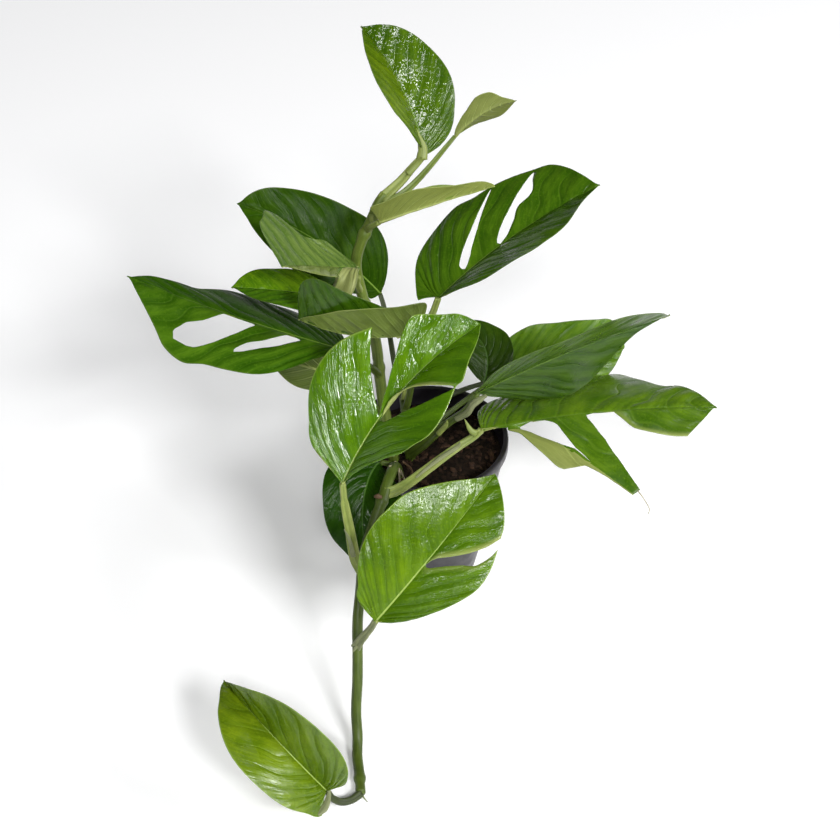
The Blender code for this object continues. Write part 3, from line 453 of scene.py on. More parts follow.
leaves = {
    "leaf_top": {"base": (-4, 65, 338), "tip": (-48, 120, 408), "face": (0.56, -0.45, 0.7),
        "width": (34, 37), "blunt": (0.75, 0.6), "taper": (0.75, 0.75), "fold": (40, 28),
        "curl": (-20, -10), "sway": -0.04, "twist": -10, "tintsAndPaintedLight": ((1.7, 1.2, 0.9), (1.2, 1, 0.7)),
        "gloss": 0.1, "shine": 0.32, "ior": 1.45, "streak": 1, "pebble": 0.6, "quilt": 0.6,
        "outline": ({0: 30, 25: 47, 37: 97, 53: 102, 72: 90, 100: 82}, {0: 40, 5.5: 43, 9: 97, 18: 98,
        32: 92, 55: 98, 77: 98, 100: 85})},
    "leaf_newest": {"base": (18, 85, 341), "tip": (60, 100, 361), "face": (-0.4, 0.9, 0.17),
        "width": (13, 13), "blunt": (0.65, 0.6), "taper": (0.65, 0.8), "fold": (26, 18), "arch": 0.07,
        "sway": -0.04, "twist": -5, "drip": 1.5, "wave": (0.6, 2.3, 0.4), "grid": 0.5, "tone": "olive",
        "tintsAndPaintedLight": ((1, 1, 1), (0.81, 0.81, 0.81)), "under": {"deep": (0.105, 0.132, 0.024),
        "light": (0.155, 0.182, 0.037)}, "quilt": 0.2, "ribPale": (0.2, 0),
        "outline": ({0: 30, 20: 40, 38: 74, 54: 104, 73: 130, 100: 120}, {0: 60, 31: 70, 45: 85, 53: 124,
        64: 130, 79: 70, 100: 60})},
    "leaf_folded": {"base": (-35, 24, 309), "tip": (45, 40, 328), "face": (-0.27, 0.21, 0.94),
        "width": (14, 20), "blunt": (0.3, 0.08), "taper": (0.9, 0.55), "fold": (96, 70),
        "curl": (-15, -20), "arch": 0.04, "sway": -0.08, "drip": 0, "grid": 0.7, "tone": "olive",
        "under": {"deep": (0.142, 0.175, 0.032), "light": (0.2, 0.235, 0.046)}, "quilt": 0.2,
        "outline": ({0: 100, 100: 100}, {0: 100, 30: 100, 50: 107, 65: 100, 80: 92, 100: 90})},
    "leaf_upper_right": {"base": (6, 30, 238), "tip": (124, 90, 296), "face": (-0.43, -0.02, 0.9),
        "width": (55, 50), "blunt": (0.45, 0.55), "taper": (0.6, 0.85), "fold": (18, 24),
        "curl": (-15, -10), "arch": -0.02, "sway": 0.1, "twist": 10, "lobe": (12, 0),
        "tintsAndPaintedLight": ((1.15, 1.1, 1), (1.05, 1, 1)), "gloss": 0.12, "shine": 1, "ior": 1.22, "streak": 0.7,
        "pebble": 0.4, "quilt": 0.9, "contrast": 0.45,
        "slits": ([{"place": 55, "lift": (0.5, 1), "edges": [(6, 54.5, 54.5), (17, 52.2, 57.4),
        (34, 53.5, 58.3), (54, 55.6, 58.3), (76, 56, 57.7), (96.5, 56, 56)]}, {"place": 67.5,
        "lift": (0.5, 1), "edges": [(2, 67.5, 67.5), (10, 66.6, 70.2), (26, 67.2, 71.6), (46, 68.5, 71.9),
        (52, 68.6, 74.4), (60, 68.8, 75), (70, 69, 74.2), (89, 69.5, 71.6), (95.5, 70.3, 70.3)]}], []),
        "outline": ({0: 80, 6: 90, 14: 100, 43: 104, 50: 95, 57: 97, 70: 103, 76: 109, 83: 98, 91: 70,
        100: 60}, {0: 100, 17: 104, 33: 96, 55: 97, 73: 116, 80: 105, 88: 80, 100: 70})},
    "leaf_upper_left": {"base": (-37, 55, 224), "tip": (-140, 75, 290), "face": (0.32, -0.65, 0.69),
        "width": (32, 35), "blunt": (0.7, 0.5), "taper": (0.85, 0.75), "fold": (22, 18), "sway": -0.05,
        "tintsAndPaintedLight": ((0.58, 0.58, 0.6), (0.54, 0.56, 0.6)), "gloss": 0.24, "shine": 0.15, "ior": 1.2,
        "streak": 0.5, "quilt": 0.5, "patchesAndShade": ([(60, 110, -0.3)], []),
        "outline": ({0: 140, 4: 140, 15: 84, 40: 100, 79: 102, 88: 90, 100: 90}, {0: 40, 11: 73, 19: 98,
        30: 106, 47: 96, 59: 98, 72: 104, 87: 122, 100: 120})},
    "leaf_half_rolled": {"base": (-51, 15, 275.5), "tip": (-102, -10, 295.5), "face": (0.47, -0.24, 0.85),
        "width": (43, 48), "blunt": (0.55, 0.75), "taper": (0.95, 0.08), "fold": (50, -6),
        "curl": (-10, 0), "arch": -0.08, "sway": -0.08, "twist": -5, "bow": 1, "drip": 0,
        "tintsAndPaintedLight": ((1.3, 1.2, 2), (2.1, 1.4, 8)), "under": {"deep": (0.195, 0.226, 0.068),
        "light": (0.286, 0.31, 0.104), "vein": (0.3, 0.33, 0.11)}, "shine": 0.5, "contrast": 0.65,
        "patchesAndShade": ([(50, 110, 0.7)], [(-10, 30, -0.5)]), "turned": ("left", 2, 48),
        "rolls": ([(2, 52, 15, -120)], []),
        "outline": ({0: 90, 12: 115, 22: 100, 34: 50, 45: 58, 55: 95, 80: 100, 100: 140}, {0: 80, 27: 77,
        36: 85, 47: 72, 55: 72, 60: 93, 64: 103, 72: 104, 80: 88, 90: 74, 96: 50, 100: 15})},
    "leaf_left_back": {"base": (-61, 18, 246), "tip": (-142, 22, 254), "face": (0.09, -0.19, 0.98),
        "width": (21, 20), "blunt": (0.55, 0.7), "taper": (0.95, 0.6), "fold": (18, 14), "sway": 0.02,
        "grid": 0.8, "tintsAndPaintedLight": ((1.4, 1.4, 1), (2.5, 2.1, 1.2)),
        "outline": ({0: 100, 100: 100}, {0: 80, 34: 82, 44: 94, 57: 105, 74: 104, 100: 100})},
    "leaf_left_split": {"base": (-61, -10, 222), "tip": (-211, 0, 280), "face": (0.37, 0.11, 0.92),
        "width": (55, 50), "blunt": (0.85, 0.55), "taper": (0.8, 1.05), "fold": (0, -6),
        "curl": (-30, -15), "arch": -0.03, "sway": -0.02, "twist": -5, "bow": 1,
        "tintsAndPaintedLight": ((0.95, 0.95, 1.2), (0.66, 0.72, 0.9)), "gloss": 0.25, "shine": 0.5, "ior": 1.06,
        "streak": 0.3, "contrast": 0.7, "patchesAndShade": ([(-10, 40, -0.5)], [(-10, 110, -0.3)]),
        "slits": ([{"place": 69, "lift": (0.5, 1.5), "edges": [(2, 69, 69), (7, 65.3, 72.6),
        (40, 64.6, 72.4), (60, 64.5, 73.5), (78, 65.6, 73.1), (86, 71, 71)]}, {"place": 54.5,
        "lift": (0, 2), "edges": [(4, 54.5, 54.5), (10, 52, 56.6), (32, 52, 56.8), (48, 54.3, 58.4),
        (62, 55.2, 57.6), (67, 56.6, 56.6)]}], []),
        "outline": ({0: 20, 13: 26, 25: 79, 35: 92, 49: 95, 56: 98, 63: 111, 70: 113, 76: 101, 84: 90,
        100: 80}, {0: 150, 15: 135, 37: 95, 43: 99, 53: 111, 58: 98, 66: 78, 75: 89, 85: 115, 100: 120})},
    "leaf_centre_raised": {"base": (-11, -10, 236), "tip": (-93, -10, 250), "face": (0.17, -0.27, 0.95),
        "width": (38, 39), "blunt": (0.45, 0.75), "taper": (1.05, 0.2), "fold": (96, 78), "arch": 0.1,
        "sway": 0.17, "twist": -5, "bow": 1, "drip": 0, "tintsAndPaintedLight": ((0.8, 0.8, 0.7), (0.8, 0.8, 0.7)),
        "under": {"deep": (0.084, 0.128, 0.013), "light": (0.138, 0.188, 0.032),
        "vein": (0.15, 0.2, 0.04)}, "patchesAndShade": ([(10, 42, -0.3)], []),
        "outline": ({0: 130, 20: 125, 40: 105, 60: 100, 100: 100}, {0: 100, 100: 100})},
    "leaf_centre_front": {"base": (-61, -100, 176), "tip": (34, -45, 273), "face": (-0.4, -0.58, 0.72),
        "width": (54, 49), "blunt": (0.7, 0.9), "taper": (1, 0.95), "fold": (24, 32), "curl": (-10, -20),
        "arch": 0.03, "sway": 0.07, "bow": 1, "drip": 0, "tone": "bright",
        "tintsAndPaintedLight": ((0.7, 0.86, 0.36), (0.58, 0.76, 0.34)), "gloss": 0.11, "shine": 0.55, "ior": 1.45,
        "streak": 1.5, "pebble": 0.25, "quilt": 0.6,
        "slits": ([{"place": 63.5, "lift": (0, 1.5), "edges": [(3, 63.5, 63.5), (14, 62.8, 65),
        (28, 61.8, 66.6), (56, 60.3, 68), (79, 59.5, 68.4), (95, 59.3, 69), (100, 59.2, 70.5)]}],
        [{"place": 64, "lift": (0, 4), "hem": (0, 1), "edges": [(2, 64, 64), (10, 61.5, 68.8),
        (20, 60.3, 69.8), (31, 61, 70.2), (55, 62.7, 69.8), (83, 65.5, 69), (98, 68.1, 68.1)]}]),
        "outline": ({0: 50, 11: 75, 17: 106, 25: 100, 37: 105, 50: 103, 59: 97, 68: 94, 72: 105, 81: 113,
        92: 170, 100: 180}, {0: 50, 11: 55, 17.5: 40, 24: 54, 34: 89, 42: 95, 50: 100, 68: 98, 73: 114,
        79: 115, 93: 160, 100: 170})},
    "leaf_centre_dark": {"base": (41, 20, 166), "tip": (19, 60, 190), "face": (-0.02, -0.52, 0.85),
        "width": (18, 19), "blunt": (0.55, 0.6), "taper": (0.95, 0.95), "arch": 0.06, "sway": -0.24,
        "grid": 0.8, "tone": "dark", "tintsAndPaintedLight": ((1.3, 1, 1), (1.3, 1, 1)), "gloss": 0.26, "ior": 1.28,
        "streak": 0.4, "quilt": 0.3,
        "outline": ({0: 100, 100: 100}, {0: 80, 19: 85, 31: 106, 49: 108, 61: 98, 100: 100})},
    "leaf_right_long": {"base": (34, -35, 203), "tip": (169, 0, 245), "face": (0.3, -0.94, -0.18),
        "width": (41, 42), "blunt": (0.6, 0.7), "taper": (0.8, 1.4), "fold": (28, 8), "curl": (-10, -5),
        "arch": 0.08, "sway": 0.14, "drip": 3, "tintsAndPaintedLight": ((0.98, 0.88, 0.7), (0.7, 0.68, 0.7)),
        "gloss": 0.3, "streak": 0.5, "contrast": 0.7,
        "outline": ({0: 100, 20: 98, 30: 110, 45: 100, 52: 102, 60: 118, 70: 112, 100: 100}, {0: 65, 6: 68,
        17: 94, 30: 94, 44: 102, 58: 113, 67: 98, 77: 45, 100: 35})},
    "leaf_right_back": {"base": (54, 42, 155), "tip": (150, 62, 165.5), "face": (0.09, -0.78, 0.62),
        "width": (33, 32), "blunt": (0.3, 0.55), "taper": (0.35, 0.85), "fold": (22, 18), "arch": 0.07,
        "twist": 5, "tintsAndPaintedLight": ((1.9, 1.6, 1), (1.8, 1.5, 1)), "gloss": 0.3, "streak": 0.5,
        "outline": ({0: 100, 24: 105, 35: 107, 52: 97, 72: 102, 84: 117, 100: 110}, {0: 100, 77: 101,
        90: 90, 100: 90})},
    "leaf_right_split": {"base": (37, -50, 181), "tip": (209, -20, 176), "face": (0.05, -0.09, 1),
        "width": (70, 77), "blunt": (0.5, 0.65), "taper": (0.75, 1.1), "fold": (-16, -2),
        "curl": (-30, -20), "arch": 0.02, "sway": 0.02, "twist": 10,
        "tintsAndPaintedLight": ((1.7, 1.4, 1.2), (1.4, 1.2, 1.2)), "under": {"deep": (0.15, 0.182, 0.04),
        "light": (0.22, 0.25, 0.062)}, "gloss": 0.26, "shine": 0.35, "streak": 0.5, "pebble": 0.1,
        "quilt": 0.9, "ribPale": (0.3, 0.1), "turned": ("right", 40, 55.05),
        "slits": ([], [{"place": 71, "lift": (-1, 2), "hem": (0, 0.7), "edges": [(1, 71, 71),
        (3, 68, 73.5), (22, 66.7, 73.1), (46, 64.7, 72.3), (67, 62.1, 73.9), (88, 59.2, 75.8),
        (100, 57.6, 77)]}, {"place": 55, "lift": (-3, 0.5), "edges": [(1, 55, 55), (4, 50, 59.2),
        (11, 52.3, 60), (24, 54, 58.9), (44, 56.4, 56.8), (62, 55.7, 55.7)]}, {"place": 42, "lift": (0, 0),
        "edges": [(1.5, 42, 42), (5, 6, 45), (12.6, 4, 48.3), (37, 4, 47.4), (54, 4, 46.5), (58, 4, 46.8),
        (60.5, 4, 50), (62, 4, 53.3), (71, 4, 54.2), (79, 4, 54.6), (100, 4, 54.8)]}]),
        "outline": ({0: 120, 18: 98, 45: 105, 58: 125, 63: 140, 67: 103, 74: 82, 83: 104, 100: 100},
        {0: 10, 30: 10, 40: 100, 74: 100, 78: 93, 85: 93, 100: 90})},
    "leaf_front_bright": {"base": (-38, -160, 100), "tip": (45, -95, 180), "face": (-0.04, -0.75, 0.66),
        "width": (45, 39), "blunt": (0.65, 0.85), "taper": (0.95, 0.8), "fold": (14, 16), "arch": 0.04,
        "sway": -0.01, "bow": 1.1, "drip": 0, "tone": "bright",
        "tintsAndPaintedLight": ((0.74, 0.78, 0.36), (0.61, 0.7, 0.32)), "streak": 0.6, "pebble": 0.5, "quilt": 0.8,
        "contrast": 0.4,
        "slits": ([], [{"place": 66, "lift": (0, 1), "hem": (0.3, 0.8), "edges": [(2, 66, 66),
        (14, 64.2, 67.6), (35, 63.7, 67), (60, 62.2, 66.4), (78, 60.4, 66.7), (93, 62, 67.7),
        (100, 64.2, 68.4)]}]),
        "outline": ({0: 150, 4.5: 150, 18: 100, 50: 102, 60: 108, 70: 104, 78: 95, 87: 75, 100: 60},
        {0: 90, 27: 90, 39: 95, 50: 102, 68: 96, 74: 100, 100: 90})},
    "leaf_pot_front": {"base": (-37, -38, 138), "tip": (-40, -100, 69), "face": (-0.14, -0.74, 0.66),
        "width": (30, 31), "blunt": (0.55, 0.4), "taper": (0.95, 1.25), "fold": (0, 8), "curl": (-5, -10),
        "arch": 0.2, "sway": -0.09, "crest": 0.4, "tone": "dark",
        "tintsAndPaintedLight": ((0.72, 0.85, 0.48), (0.72, 0.85, 0.48)), "gloss": 0.14, "shine": 0.3, "ior": 1.28,
        "pebble": 0.5, "quilt": 0.4,
        "outline": ({0: 100, 100: 100}, {0: 108, 20: 107, 38: 98, 56: 109, 64: 97, 73: 82, 100: 70})},
    "leaf_floor": {"base": (-72, -244, 20), "tip": (-146, -176, 55), "face": (-0.15, -0.58, 0.8),
        "width": (36, 36), "blunt": (0.4, 0.35), "taper": (0.85, 1.05), "fold": (46, 46),
        "curl": (-10, -15), "arch": 0.21, "sway": -0.02, "twist": -5, "lobe": (8, 0), "tone": "bright",
        "tintsAndPaintedLight": ((1.1, 0.93, 0.56), (0.9, 0.82, 0.56)), "gloss": 0.25, "shine": 0.6, "streak": 0.5,
        "veins": 10, "contrast": 0.35,
        "outline": ({0: 150, 4: 134, 10: 106, 18: 98, 32: 98, 54: 103, 70: 103, 80: 92, 100: 85}, {0: 140,
        6: 108, 13: 103, 27: 105, 40: 108, 50: 106, 60: 101, 70: 92, 80: 85, 100: 80})},
    "leaf_left_low": {"base": (-57, 0, 187), "tip": (-124, 20, 196), "face": (0.27, 0.96, -0.11),
        "width": (20, 21), "blunt": (0.55, 0.6), "taper": (0.95, 0.85), "fold": (18, 10), "arch": 0.03,
        "sway": -0.04, "grid": 0.7, "tone": "olive", "tintsAndPaintedLight": ((0.75, 0.8, 0.6), (0.75, 0.8, 0.6)),
        "under": {"deep": (0.06, 0.096, 0.006), "light": (0.09, 0.132, 0.011)},
        "outline": ({0: 100, 100: 100}, {0: 100, 48: 105, 72: 110, 100: 100})},
}


def smoothBetween(x, knots):
    # a smooth curve through (place, value) knots that never overshoots them
    places, values = np.array(knots).T
    slopes = np.diff(values) / np.diff(places)
    inner = np.where(slopes[:-1] * slopes[1:] > 0, (slopes[:-1] + slopes[1:]) / 2, 0)
    limit = 3 * np.minimum(np.abs(slopes[:-1]), np.abs(slopes[1:]))
    tangents = np.concatenate([slopes[:1], np.clip(inner, -limit, limit), slopes[-1:]])
    k = np.clip(np.searchsorted(places, x, side="right") - 1, 0, len(places) - 2)
    h = places[k + 1] - places[k]
    z = np.clip((x - places[k]) / h, 0, 1)
    return (values[k] * (1 + 2 * z) * (1 - z) ** 2 + values[k + 1] * z ** 2 * (3 - 2 * z)
            + h * (tangents[k] * z * (1 - z) ** 2 - tangents[k + 1] * z ** 2 * (1 - z)))


def midribFrame(leaf, x):
    chord = leaf["tip"] - leaf["base"]
    length = np.linalg.norm(chord)
    forward = chord / length
    face = np.array(leaf["face"], float)
    up = unit(face - forward * face.dot(forward))
    left = np.cross(up, forward)
    power = math.log(0.5) / math.log(leaf["crest"])
    x = np.clip(x, 0, 1)

    def bump(share):
        return 4 * share ** power * (1 - share ** power)

    nudge = 0.001
    ahead = np.minimum(x + nudge, 1)
    behind = np.maximum(x - nudge, 0)
    slope = (bump(ahead) - bump(behind)) / (ahead - behind)
    lean = up * leaf["arch"] + left * leaf["sway"]
    points = leaf["base"] + np.multiply.outer(x, chord) + np.multiply.outer(bump(x) * length, lean)
    tangent = unit(forward + np.multiply.outer(slope, lean))
    upHere = unit(up - tangent * (tangent @ up)[..., None])
    leftHere = np.cross(upHere, tangent)
    turn = np.radians(leaf["twist"] * x)[..., None]
    nearTip = ramp(x - bladeShape["dripFrom"], 1 - bladeShape["dripFrom"])
    points = points + tangent * (leaf["drip"] * nearTip ** 2)[..., None]
    return (points, tangent, upHere * np.cos(turn) - leftHere * np.sin(turn),
            leftHere * np.cos(turn) + upHere * np.sin(turn))


def halfWidth(leaf, side, x):
    blunt, taper = leaf["blunt"][side], leaf["taper"][side]
    widest = blunt / (blunt + taper)
    return leaf["width"][side] * x ** blunt * (1 - x) ** taper / (widest ** blunt * (1 - widest) ** taper)


def bladePoints(leaf, side, t, r):
    # the blade bends in steps on the way out from the midrib, which starts each row further back
    t = np.clip(t, 0, 1)
    ease = bladeShape["ease"]
    onMargin = ease * (1 - np.cos(np.pi * t)) / 2 + (1 - ease) * t
    onMidrib = onMargin ** bladeShape["sweep"]
    x = onMidrib + (onMargin - onMidrib) * r ** leaf["bow"]
    reach = halfWidth(leaf, side, onMargin) * r * smoothBetween(t, leaf["outline"][side])
    if leaf["drip"] > 0:
        reach = reach * (1 - bladeShape["tipSlim"] * hump(1 - onMargin, bladeShape["tipReach"]))
    points, ahead, up, left = midribFrame(leaf, x)
    lobe = leaf["lobe"][side] * r ** 2 * hump(t, bladeShape["lobeReach"])
    points = points - ahead * lobe[..., None]
    outward = left if side == 0 else -left
    steps = bladeGrid["bendSteps"]
    for step in range(steps):
        share = (step + 0.5) / steps
        bend = leaf["fold"][side] + leaf["curl"][side] * share * reach / leaf["width"][side]
        for first, last, start, degrees in leaf["rolls"][side]:
            rolled = window(t / percent, first, last, bladeShape["rollSoft"])
            bend = bend + degrees * rolled * np.maximum((share * r / percent - start) / (100 - start), 0)
        angle = np.radians(bend)[..., None]
        points = points + (outward * np.cos(angle) + up * np.sin(angle)) * (reach / steps)[..., None]
    height, count, phase = leaf["wave"]
    ripple = np.sin(2 * np.pi * count * t + phase + side * bladeShape["waveShift"]) * np.sin(np.pi * t)
    ripple = height * mm * r ** bladeShape["wavePower"] * ripple
    return points + up * ripple[..., None], reach, x


def slitEdges(slit, r):
    # the edges of a slit, round at its inner end, and at its outer end too if that is closed
    shares, low, high = slit["edges"].T
    centre = smoothBetween(r, list(zip(shares, (low + high) / 2)))
    half = (high - low) / 2
    gap = np.interp(r, shares, half)
    for first, last in ((0, 1), (-2, -1)) if half[-1] == 0 else ((0, 1),):
        there = (r >= shares[first]) & (r <= shares[last])
        gap[there] = np.sqrt(np.interp(r[there], shares[[first, last]], half[[first, last]] ** 2))
    gap[r <= shares[0]] = 0
    return centre - gap, centre + gap


def movedRow(leaf, side, place, r, edge):
    # a row between two slits, or at one, is moved with their edges
    start, startLine, end, endLine = 0.0, np.zeros_like(r), 1.0, np.ones_like(r)
    for slit in sorted(leaf["slits"][side], key=lambda s: s["place"]):
        low, high = slitEdges(slit, r)
        if slit["place"] == place:
            return low if edge < 0 else high
        if slit["place"] < place:
            start, startLine = slit["place"], high
        elif end == 1.0:
            end, endLine = slit["place"], low
    return startLine + (endLine - startLine) * (place - start) / (end - start)


def slitLift(leaf, side, place, t, r):
    # the edges of a slit curl up or down, and a rolled edge shows the pale underside
    length = math.dist(leaf["base"], leaf["tip"])
    lift, hem = np.zeros_like(r), np.zeros_like(r)
    for slit in leaf["slits"][side]:
        low, high = slitEdges(slit, r)
        end = 0 if place <= slit["place"] else 1
        far = np.abs(t - (low, high)[end]) * length
        gap = high - low
        parted = ramp(gap / max(gap.max(), 1e-6), bladeShape["partedFull"])
        lift += slit["lift"][end] * mm * parted * np.exp(-far / bladeShape["liftWidth"])
        hemmed = ramp(bladeShape["hemReach"] - far, bladeShape["hemWidth"])
        hem += slit.get("hem", (0, 0))[end] * parted * hemmed
    return lift, hem


def bladeLines(leaf):
    # the shares from midrib to margin that a row has points at, and the places of the rows
    slits = leaf["slits"][0] + leaf["slits"][1]
    slitEnds = {share for slit in slits for share in slit["edges"][[0, -1], 0]}
    spaced = np.linspace(0, bladeGrid["lastColumn"], int(bladeGrid["columns"] * leaf["grid"]))
    spaced = [r for r in spaced if all(abs(r - end) > bladeGrid["columnGap"] for end in slitEnds)]
    shares = np.array(sorted(set(spaced) | slitEnds | {0.0, bladeGrid["nearMargin"], 1.0}))
    splitPlaces = {slit["place"] for slit in slits}
    rows = np.linspace(bladeGrid["firstRow"], 1, int(bladeGrid["rows"] * leaf["grid"]))
    clear = bladeGrid["rowGap"] * (rows[1] - rows[0])
    return shares, sorted({p for p in rows if all(abs(p - at) > clear for at in splitPlaces)} | splitPlaces)


def bladeSheet(leaf):
    # one line of numbers for each vertex of the middle sheet, and the quads between them
    r, places = bladeLines(leaf)
    vertices, quads, index = [], [], {}
    for side in (0, 1):
        grid = []
        for place in places:
            host = next((slit for slit in leaf["slits"][side] if slit["place"] == place), None)
            low, high = slitEdges(host, r) if host else (r, r)
            pair = []
            for edge in ((-1, 1) if host else (0,)):
                t = movedRow(leaf, side, place, r, edge)
                spots, reach, x = bladePoints(leaf, side, t, r)
                lift, hem = slitLift(leaf, side, place + 1e-9 * edge, t, r)
                away = reach if side == 0 else -reach
                line = []
                for column, values in enumerate(np.column_stack([spots, t, r, away, x, lift, hem])):
                    if place >= 1:
                        key = "tip"
                    elif column == 0:
                        key = place
                    else:
                        key = (side, place, column, edge if high[column] - low[column] >= 1e-9 else 0)
                    if key not in index:
                        index[key] = len(vertices)
                        vertices.append(values)
                    line.append(index[key])
                pair.append(line)
            grid.append(pair)
        for before, after in zip(grid, grid[1:]):
            first, second = before[-1], after[0]
            for column in range(len(r) - 1):
                corners = [first[column], second[column], second[column + 1], first[column + 1]]
                quads.append(corners if side == 0 else corners[::-1])
    return np.array(vertices), np.array(quads)


def bladeFaces(leaf, quads, share, out, away):
    # both faces of the sheet and its rim; kinds says which of them show the underside
    count = len(share)
    faces, kinds, edges = [], [], set()
    for corners in quads:
        loop = [int(c) for n, c in enumerate(corners) if c != corners[n - 1]]
        if len(loop) < 3:
            continue
        over = 0
        if leaf["turned"]:
            # a lobe that is turned over shows its underside
            side, low, high = leaf["turned"]
            spot = share[loop].mean() / percent
            over = int(low < spot < high and out[loop].min() > bladeShape["turnedFrom"]
                       and (away[loop].mean() > 0) == (side == "left"))
        faces += [loop, [c + count for c in reversed(loop)]]
        kinds += [over, 1 - over]
        edges.update(zip(loop, loop[1:] + loop[:1]))
    rim = [[b, a, a + count, b + count] for a, b in sorted(edges) if (b, a) not in edges]
    return faces + rim, kinds + [0] * len(rim)


def readLeaf(name):
    leaf = {**leafDefaults, **leaves[name]}
    for length in ("base", "tip", "width", "lobe", "drip", "quilt"):
        leaf[length] = np.multiply(leaf[length], mm)
    leaf["outline"] = [np.multiply(list(knots.items()), percent) for knots in leaf["outline"]]
    leaf["slits"] = [[{**slit, "place": slit["place"] * percent,
                       "edges": np.multiply(slit["edges"], percent)} for slit in half]
                     for half in leaf["slits"]]
    return leaf


def makeBlade(name):
    leaf = readLeaf(name)
    seed = sum(ord(letter) for letter in name) % 97
    vertices, quads = bladeSheet(leaf)
    points, (share, out, away, alongRib, lifts, hemsAndShade) = vertices[:, :3], vertices[:, 3:].T
    normals = vertexNormals(points, quads)
    # pillows between the side veins, a groove along the midrib and slow unevenness
    q = quiltShape
    offMidrib = ramp(out, q["clearFrom"])
    wander = q["wander"] * softNoise(points, q["wanderScale"], seed + 3)
    veinCount = leaf["veins"] * share + wander * offMidrib
    pillow = np.abs(np.sin(np.pi * veinCount)) ** q["pillowPower"] - 0.5
    streaks = softNoise(np.stack([share, out, np.sign(away)], 1) * q["streakGrain"], 1.0, seed)
    fade = ramp(out, q["midribFade"]) * ramp(1 - out, q["marginFade"])
    relief = leaf["quilt"] * (q["pillows"] * pillow + q["streaks"] * streaks) * fade
    relief += q["unevenness"] * softNoise(points, q["unevenScale"], seed) * offMidrib
    groove = hump(away, ribShape["grooveWidth"] * np.interp(alongRib, (0, 1), ribShape["widths"]))
    rib = np.interp(alongRib, (0, 1), ribShape["depths"]) * groove
    thin = bladeShape["marginThickness"]
    thick = thin + (bladeShape["thickness"] - thin) * (1 - out ** 3)
    shaped = points + normals * (relief + lifts)[:, None]
    normals = vertexNormals(shaped, quads)
    upper = shaped + normals * (thick / 2 - ribShape["grooveDepth"] * groove)[:, None]
    lower = shaped - normals * (thick / 2 + ribShape["ribDepth"] * rib)[:, None]
    # negative patches paint shade onto the blade, positive ones make it as pale as the underside
    for half, patchesAndShade in zip((away > 0, away <= 0), leaf["patchesAndShade"]):
        for low, high, amount in patchesAndShade:
            inside = window(share / percent, low, high, bladeShape["patchSoft"])
            hemsAndShade = hemsAndShade + amount * inside * ramp(out, bladeShape["patchFrom"]) * half
    faces, kinds = bladeFaces(leaf, quads, share, out, away)
    maps = {label: np.tile(np.stack(pair, 1), (2, 1)) for label, pair in (
        ("veinMap", (share, out)), ("ribMap", (away * 100, alongRib)), ("hemAndShadeMap", (hemsAndShade, veinCount)))}
    materials = [makeBladeMaterial(name, face, leaf) for face in ("upper", "under")]
    addPiece(name + "_blade", np.concatenate([upper, lower]), faces, materials,
             name, maps, kinds)


for leafName in leaves:
    makeBlade(leafName)
print("leaf blades made:", len(leaves))


# stems

stemGrid = {"sides": 28, "trimmingSides": 20, "step": 0.0018, "capOut": 0.3, "down": (0.10, 0.74, -0.66)}
stemTones = {
    "pale": {"deep": (0.100, 0.145, 0.022), "light": (0.225, 0.265, 0.065), "gloss": 0.42},
    "olive": {"deep": (0.028, 0.048, 0.004), "light": (0.070, 0.105, 0.012), "gloss": 0.42},
    "dark": {"deep": (0.018, 0.028, 0.007), "light": (0.045, 0.060, 0.015), "gloss": 0.40},
    "young": {"deep": (0.050, 0.082, 0.007), "light": (0.130, 0.175, 0.026), "gloss": 0.42},
    "grey": {"deep": (0.100, 0.120, 0.050), "light": (0.220, 0.240, 0.120), "gloss": 0.55},
    "brown": {"deep": (0.050, 0.025, 0.012), "light": (0.130, 0.080, 0.040), "gloss": 0.60},
    "root": {"deep": (0.200, 0.170, 0.090), "light": (0.400, 0.360, 0.240), "gloss": 0.70},
}

